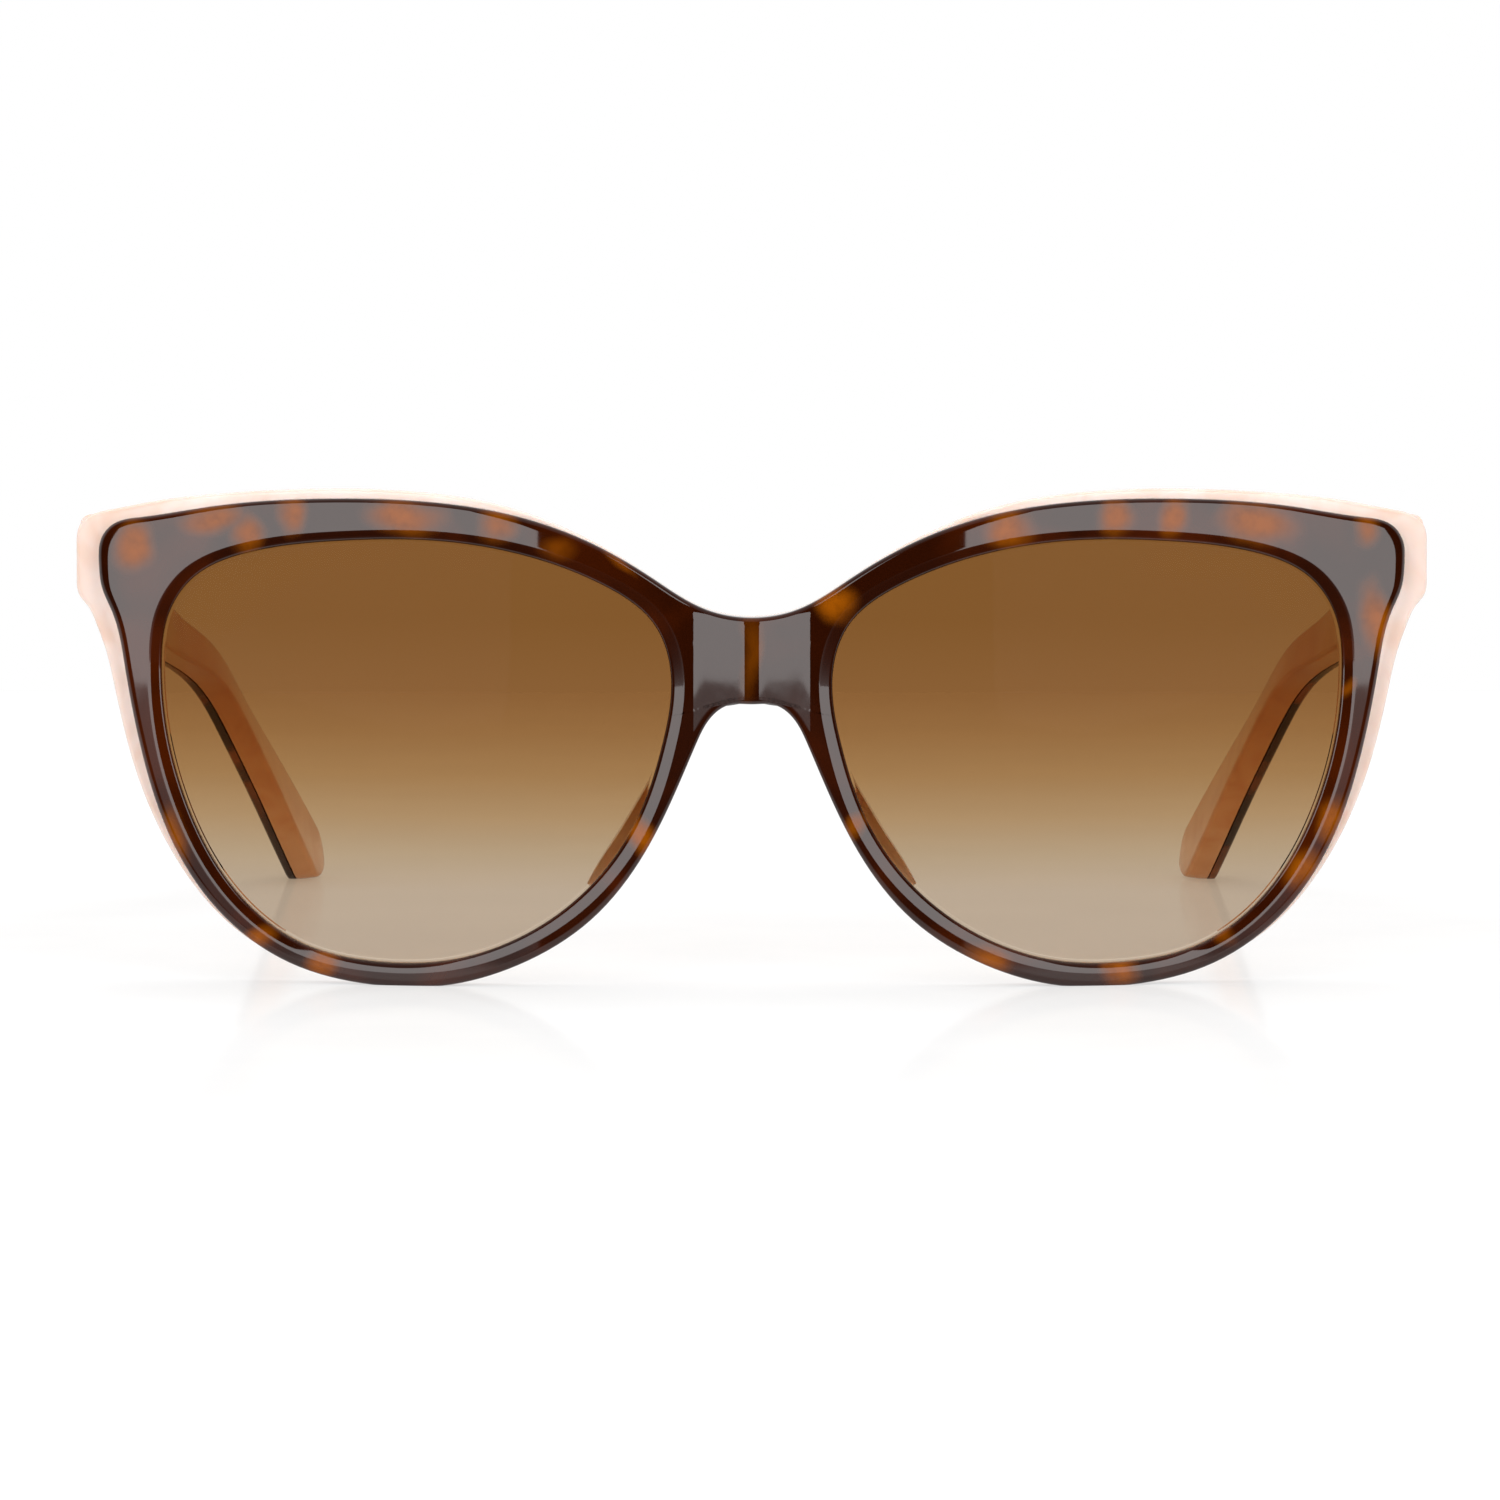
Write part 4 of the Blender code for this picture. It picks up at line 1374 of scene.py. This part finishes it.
# ---- hinges -------------------------------------------------------------------------------------
@dataclass
class Hinge:
    """A five-knuckle hinge: a leaf in the front, one in the temple and the screw in both."""

    finishes: Finishes
    sizes: HingeSizes

    def build(self) -> None:
        """Builds both hinges."""
        hinge, screw = self.finishes.hinge, self.finishes.screw
        for left, look, node, on_temple in (
            (self.front_leaf("front_leaf_left"), hinge, "hinge_front_leaf", False),
            (self.temple_leaf("temple_leaf_left"), hinge, "hinge_temple_leaf", True),
            (self.screw("pivot_screw_left"), screw, "hinge_screw", False),
        ):
            right = other_side(left, left.name.replace("left", "right"))
            for side, piece in ((Side.LEFT, left), (Side.RIGHT, right)):
                body = side.temple if on_temple else "front"
                hand_over(piece, look, body, Slot.HINGE, f"{node}_{side.word}")

    def leaf(
        self, plate: bpy.types.Object, web_low: tuple[float, float], web_high: tuple[float, float],
        numbers: Sequence[int],
    ) -> bpy.types.Object:
        """Joins knuckles to a leaf's plate and bores them.

        Args:
            plate: The leaf's plate.
            web_low: Lowest X and Y of the web that runs from the plate to a knuckle.
            web_high: Highest X and Y of the web.
            numbers: Which knuckles belong to the leaf, counted from the bottom.

        Returns:
            The leaf.
        """
        sizes = self.sizes
        for number in numbers:
            low, high = sizes.knuckle(number)
            web = block("web", (*web_low, low), (*web_high, high), sizes.soften)
            knuckle = drum("knuckle", sizes.axis, sizes.knuckle_radius, low, high, sizes.soften)
            combine(plate, "UNION", web, knuckle)
        low, high = sizes.middle_z - sizes.bore_reach, sizes.middle_z + sizes.bore_reach
        combine(plate, "DIFFERENCE", drum("bore", sizes.axis, sizes.bore, low, high))
        close_up(plate)
        return plate

    def front_leaf(self, name: str) -> bpy.types.Object:
        """The leaf with the outer knuckles, sunk in the front's end piece."""
        sizes = self.sizes
        half = sizes.leaf_tall / 2
        low = (sizes.leaf_low_x, sizes.seat_y - sizes.leaf_thick, sizes.middle_z - half)
        high = (sizes.leaf_high_x, sizes.seat_y, sizes.middle_z + half)
        web_low = (sizes.axis.x + sizes.front_web_x[0], sizes.seat_y + sizes.front_web_y[0])
        web_high = (sizes.axis.x + sizes.front_web_x[1], sizes.axis.y + sizes.front_web_y[1])
        return self.leaf(block(name, low, high, sizes.soften), web_low, web_high, (0, 2, 4))

    def temple_leaf(self, name: str) -> bpy.types.Object:
        """The leaf with the two inner knuckles, sunk in the temple's inner face."""
        sizes = self.sizes
        half = sizes.temple_leaf_tall / 2
        low = (sizes.temple_leaf_x, sizes.temple_leaf_y, sizes.middle_z - half)
        high = (
            sizes.temple_leaf_x + sizes.leaf_thick,
            sizes.temple_leaf_y + sizes.temple_leaf_long,
            sizes.middle_z + half,
        )
        web_low = (sizes.axis.x + sizes.temple_web_x[0], sizes.axis.y + sizes.temple_web_y[0])
        web_high = (
            sizes.temple_leaf_x + sizes.temple_web_x[1], sizes.axis.y + sizes.temple_web_y[1],
        )
        return self.leaf(block(name, low, high, sizes.soften), web_low, web_high, (1, 3))

    def screw(self, name: str) -> bpy.types.Object:
        """The screw that pins the knuckles, with a domed and slotted head."""
        sizes = self.sizes
        bottom = sizes.knuckle(0)[0] + sizes.screw_foot
        top = sizes.knuckle(sizes.knuckles - 1)[1] + sizes.knuckle_gap
        shank = drum(
            name, sizes.axis, sizes.screw_radius, bottom, top + sizes.head_tall / 2,
            sizes.screw_round, 32,
        )
        head = drum(
            "head", sizes.axis, sizes.head_radius, top, top + sizes.head_tall, sizes.head_round
        )
        combine(shank, "UNION", head)
        half = sizes.slot_wide / 2
        floor = top + sizes.head_tall - sizes.slot_deep
        low = (sizes.axis.x - sizes.slot_reach, sizes.axis.y - half, floor)
        high = (sizes.axis.x + sizes.slot_reach, sizes.axis.y + half, top + sizes.slot_reach)
        combine(shank, "DIFFERENCE", block("slot", low, high))
        close_up(shank)
        return shank


# ---- temples ------------------------------------------------------------------------------------
@dataclass
class Temples:
    """The two folding temples: a peach bar with a thin tortoise layer on its outer side."""

    finishes: Finishes
    hinge: HingeSizes
    thick: float = 4.0
    outer_layer: float = 1.05
    layer_gap: float = 0.15
    edge_round: float = 0.7
    core_radius: float = 0.55
    groove_play: float = 0.15   # beside the core wire
    groove_floor: float = 0.25  # behind it
    steps: int = 8
    # Depth, inner face x, middle z, height, lean of the section in degrees.
    stations: tuple[tuple[float, ...], ...] = (
        (17.15, 68.2, 45.5, 7.6, 0.0),
        (35.0, 68.2, 42.6, 7.4, 0.0),
        (55.0, 68.0, 39.0, 6.7, 0.0),
        (73.0, 67.3, 35.2, 5.6, 1.0),
        (85.0, 65.8, 32.5, 4.8, 5.0),
        (94.0, 63.9, 30.2, 4.5, 10.0),
        (102.0, 62.3, 27.1, 4.6, 14.0),
        (112.0, 60.3, 21.4, 5.2, 16.0),
        (122.0, 58.1, 15.2, 6.2, 14.0),
        (131.0, 55.9, 9.0, 7.0, 11.0),
        (137.8, 54.0, 3.72, 7.0, 8.0),
    )
    tip_angles: tuple[float, ...] = (10, 20, 30, 40, 49, 58, 66, 73, 79, 84, 88)

    def build(self) -> None:
        """Builds both temples, and gives the wires inside them their metal."""
        self.lay_out()
        # The temples' peach finish carries painted light: its deeper orange stands in for light
        # tinted by the lenses.
        tortoise, peach = self.finishes.temple_tortoise, self.finishes.temple_peach
        for left, look, slot, node in (
            (self.outer("temple_outer_left"), tortoise, Slot.TORTOISE, "temple_tortoise_layer"),
            (self.inner("temple_inner_left"), peach, Slot.PEACH, "temple_peach_layer"),
        ):
            right = other_side(left, left.name.replace("left", "right"))
            for side, piece in ((Side.LEFT, left), (Side.RIGHT, right)):
                hand_over(piece, look, side.temple, slot, f"{node}_{side.word}")
        for side in Side:
            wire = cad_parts[f"temple_core_wire_{side.word}"]
            wire.data.materials.clear()
            wire.data.materials.append(self.finishes.core)

    def lay_out(self) -> None:
        """Works out the middle line, the heights and the directions of the sections."""
        rows = smooth_path(self.stations, self.steps)
        self.points = [Vector((row[1], row[0] + FRONT_Y, row[2])) for row in rows]
        self.heights = [float(row[3]) for row in rows]
        self.leans = [math.radians(row[4]) for row in rows]
        along = (self.points[-1] - self.points[-2]).normalized()
        end, height, lean = self.points[-1].copy(), self.heights[-1], self.leans[-1]
        for angle in self.tip_angles:
            turn = math.radians(angle)
            self.points.append(end + along * (height * 0.5 * math.sin(turn)))
            self.heights.append(height * math.cos(turn))
            self.leans.append(lean)

    def sections(self, profile: Callable[[float], Profile]) -> list[list[Vector]]:
        """Sets a profile across the bar at each station.

        Args:
            profile: Gives the profile for half the bar's height there, as out and up.

        Returns:
            The rings, from the hinge to the tip.
        """
        rings = []
        for i, point in enumerate(self.points):
            before = self.points[max(i - 1, 0)]
            after = self.points[min(i + 1, len(self.points) - 1)]
            along = (after - before).normalized() if i else Vector((0, 1, 0))
            up = Vector((math.sin(self.leans[i]), 0, math.cos(self.leans[i])))
            up = (up - up.dot(along) * along).normalized()
            out = along.cross(up).normalized()
            half = self.heights[i] / 2
            rings.append([point + across * out + rise * up for across, rise in profile(half)])
        return rings

    def outer(self, name: str) -> bpy.types.Object:
        """The tortoise layer on the outer side."""
        inner, outer = self.thick - self.outer_layer, self.thick

        def profile(half: float) -> Profile:
            ease = min(self.edge_round, 0.9 * half)
            small = min(0.05, 0.4 * half)
            return eased([
                (inner, -half, small), (outer, -half, ease),
                (outer, half, ease), (inner, half, small),
            ], 5, closed=True)

        rings = self.sections(profile)
        return Growth(name, rings[0]).grow(*rings[1:]).cap().stand().done()

    def inner(self, name: str) -> bpy.types.Object:
        """The peach bar, grooved for the core wire and pocketed for the hinge's leaf."""
        outer = self.thick - self.outer_layer - self.layer_gap
        groove = outer - 2 * self.core_radius - self.groove_floor
        wide = self.core_radius + self.groove_play

        def profile(half: float) -> Profile:
            ease = min(self.edge_round, 0.9 * half)
            small = min(0.05, 0.4 * half)
            slot = min(wide, 0.5 * half)
            return eased([
                (0.0, -half, ease), (outer, -half, small), (outer, -slot, 0),
                (groove, -slot * 0.6, 0), (groove, slot * 0.6, 0), (outer, slot, 0),
                (outer, half, small), (0.0, half, ease),
            ], 5, closed=True)

        rings = self.sections(profile)
        piece = Growth(name, rings[0]).grow(*rings[1:]).cap().stand().done()
        sizes = self.hinge
        half = sizes.temple_leaf_tall / 2 + sizes.play
        start = self.points[0]
        low = (start.x - CUTTER, start.y - CUTTER, sizes.middle_z - half)
        high = (
            sizes.temple_leaf_x + sizes.leaf_thick + sizes.play,
            sizes.temple_leaf_y + sizes.temple_leaf_long + sizes.play,
            sizes.middle_z + half,
        )
        combine(piece, "DIFFERENCE", block("leaf_pocket", low, high))
        close_up(piece)
        return piece


# ---- studio -------------------------------------------------------------------------------------
@dataclass
class Studio:
    """A pale tabletop, soft light from both sides and above, and the camera."""

    face_y: float = FRONT_Y * MM
    distance: float = 0.8
    camera_height: float = 0.0807
    aim_height: float = 0.0255
    focal_length: float = 181.7
    shift: float = -0.00117
    floor_front: float = 0.33
    floor_back: float = 0.36
    floor_half: float = 1.3
    floor_glow: float = 0.52
    dim_near: float = 0.008     # in front of the face, where reflections of the floor start to dim
    dim_from: float = 0.03      # and where they are dark
    side_reach: float = 0.55
    side_azimuth: float = 30.0
    side_wide: float = 0.30
    side_tall: float = 0.545
    side_height: float = 0.2525
    side_glow: float = 3.7
    fill_glow: float = 1.8
    fill_reach: float = 0.62
    fill_height: float = 0.36
    fill_aim: float = 0.02
    fill_size: tuple[float, float] = (0.7, 0.4)
    top_glow: float = 1.6
    top_size: float = 0.9
    top_height: float = 0.9

    def build(self) -> None:
        """Sets up floor, world, lights and camera."""
        bpy.context.scene.view_settings.view_transform = "Standard"
        self.floor()
        self.world()
        for name, sign in (("side_light_left", 1), ("side_light_right", -1)):
            turn = math.radians(self.side_azimuth)
            aim = Vector((0, self.face_y, self.side_height))
            reach = Vector((sign * math.sin(turn), -math.cos(turn), 0)) * self.side_reach
            self.light(name, aim + reach, aim, (self.side_wide, self.side_tall), self.side_glow)
        overhead = self.light(
            "top_light", Vector((0, 0, self.top_height)), Vector((0, 0, 0)),
            (self.top_size, self.top_size), self.top_glow,
        )
        fill = self.light(
            "front_fill", Vector((0, self.face_y - self.fill_reach, self.fill_height)),
            Vector((0, self.face_y, self.fill_aim)), self.fill_size, self.fill_glow,
        )
        overhead.visible_glossy = fill.visible_glossy = False
        self.camera()

    def floor(self) -> None:
        """A white tabletop that ends just outside the view, and is dark in reflections."""
        deselect_all()
        middle = (self.floor_back - self.floor_front) / 2
        bpy.ops.mesh.primitive_plane_add(
            size=1, location=(0, self.face_y + middle, 0),
            scale=(2 * self.floor_half, self.floor_back + self.floor_front, 1),
        )
        floor = bpy.context.object
        floor.name = "tabletop"
        apply_place(floor)
        surface = Surface("white_tabletop")
        nodes = surface.nodes
        speck = nodes.add("TexNoise", {"Vector": surface.place, "Scale": 35.0, "Detail": 3.0})
        share = nodes.spread(speck.outputs[0], 0.3, 0.7)
        white = nodes.mix(share, (0.34, 0.34, 0.34), (0.36, 0.36, 0.36))
        depth = nodes.add("SeparateXYZ", {0: surface.place}).outputs["Y"]
        starts, ends = self.face_y - self.dim_from, self.face_y - self.dim_near
        far = nodes.spread(depth, starts, ends, 1.0, 0.0)
        dim = nodes.math("MULTIPLY", far, nodes.add("LightPath").outputs["Is Glossy Ray"])
        surface.set({
            "Base Color": nodes.mix(dim, white, (0.02, 0.02, 0.02)),
            "Roughness": 0.08,
            "IOR": 1.016,
            "Emission Color": (1.0, 1.0, 1.0, 1.0),
            "Emission Strength": nodes.spread(dim, 0.0, 1.0, self.floor_glow, 0.0),
        })
        floor.data.materials.append(surface.material)

    def world(self) -> None:
        """A room that is bright behind the sunglasses and dark behind the camera.

        Camera rays and transmission rays meet it at full strength from every side.
        """
        world = bpy.data.worlds.new("studio")
        world.use_nodes = True
        bpy.context.scene.world = world
        nodes = Nodes(world.node_tree)
        background = world.node_tree.nodes["Background"]
        way = nodes.add("SeparateXYZ", {0: nodes.add("TexCoord").outputs["Generated"]})
        behind = nodes.spread(way.outputs["Y"], -0.25, 0.15)
        above = nodes.spread(way.outputs["Z"], 0.55, 0.95, 0.0, 0.5)
        glow = nodes.math("MAXIMUM", behind, above)
        ray = nodes.add("LightPath").outputs
        seen = nodes.math("MAXIMUM", ray["Is Camera Ray"], ray["Is Transmission Ray"])
        nodes.tree.links.new(nodes.math("MAXIMUM", glow, seen), background.inputs["Strength"])
        background.inputs["Color"].default_value = (1, 1, 1, 1)

    @staticmethod
    def light(
        name: str, place: Vector, aim: Vector, size: tuple[float, float], glow: float
    ) -> bpy.types.Object:
        """Hangs a soft light.

        Args:
            name: Its name.
            place: Where it is.
            aim: What it faces.
            size: Its width and height.
            glow: The radiance of its face.

        Returns:
            The light.
        """
        deselect_all()
        bpy.ops.object.light_add(type="AREA", location=place)
        lamp = bpy.context.object
        lamp.name = name
        lamp.rotation_euler = (place - aim).to_track_quat("Z", "Y").to_euler()
        lamp.data.shape = "RECTANGLE"
        lamp.data.size, lamp.data.size_y = size
        lamp.data.energy = glow * math.pi * size[0] * size[1]
        lamp.visible_camera = False
        return lamp

    def camera(self) -> None:
        """The camera, a little above the brow and looking slightly down."""
        deselect_all()
        place = Vector((0, self.face_y - self.distance, self.camera_height))
        bpy.ops.object.camera_add(location=place)
        camera = bpy.context.object
        aim = Vector((0, self.face_y, self.aim_height))
        camera.rotation_euler = (place - aim).to_track_quat("Z", "Y").to_euler()
        camera.data.sensor_width = 36.0
        camera.data.lens = self.focal_length
        camera.data.shift_x = self.shift
        bpy.context.scene.camera = camera


def main() -> None:
    """Builds the sunglasses and the studio round them."""
    logging.basicConfig(level=logging.INFO, format="%(name)s: %(message)s")
    finishes = Finishes()
    hinge = HingeSizes()
    Front(finishes, hinge).build()
    Hinge(finishes, hinge).build()
    Temples(finishes, hinge).build()
    Studio().build()
    deselect_all()


if __name__ == "__main__":
    main()
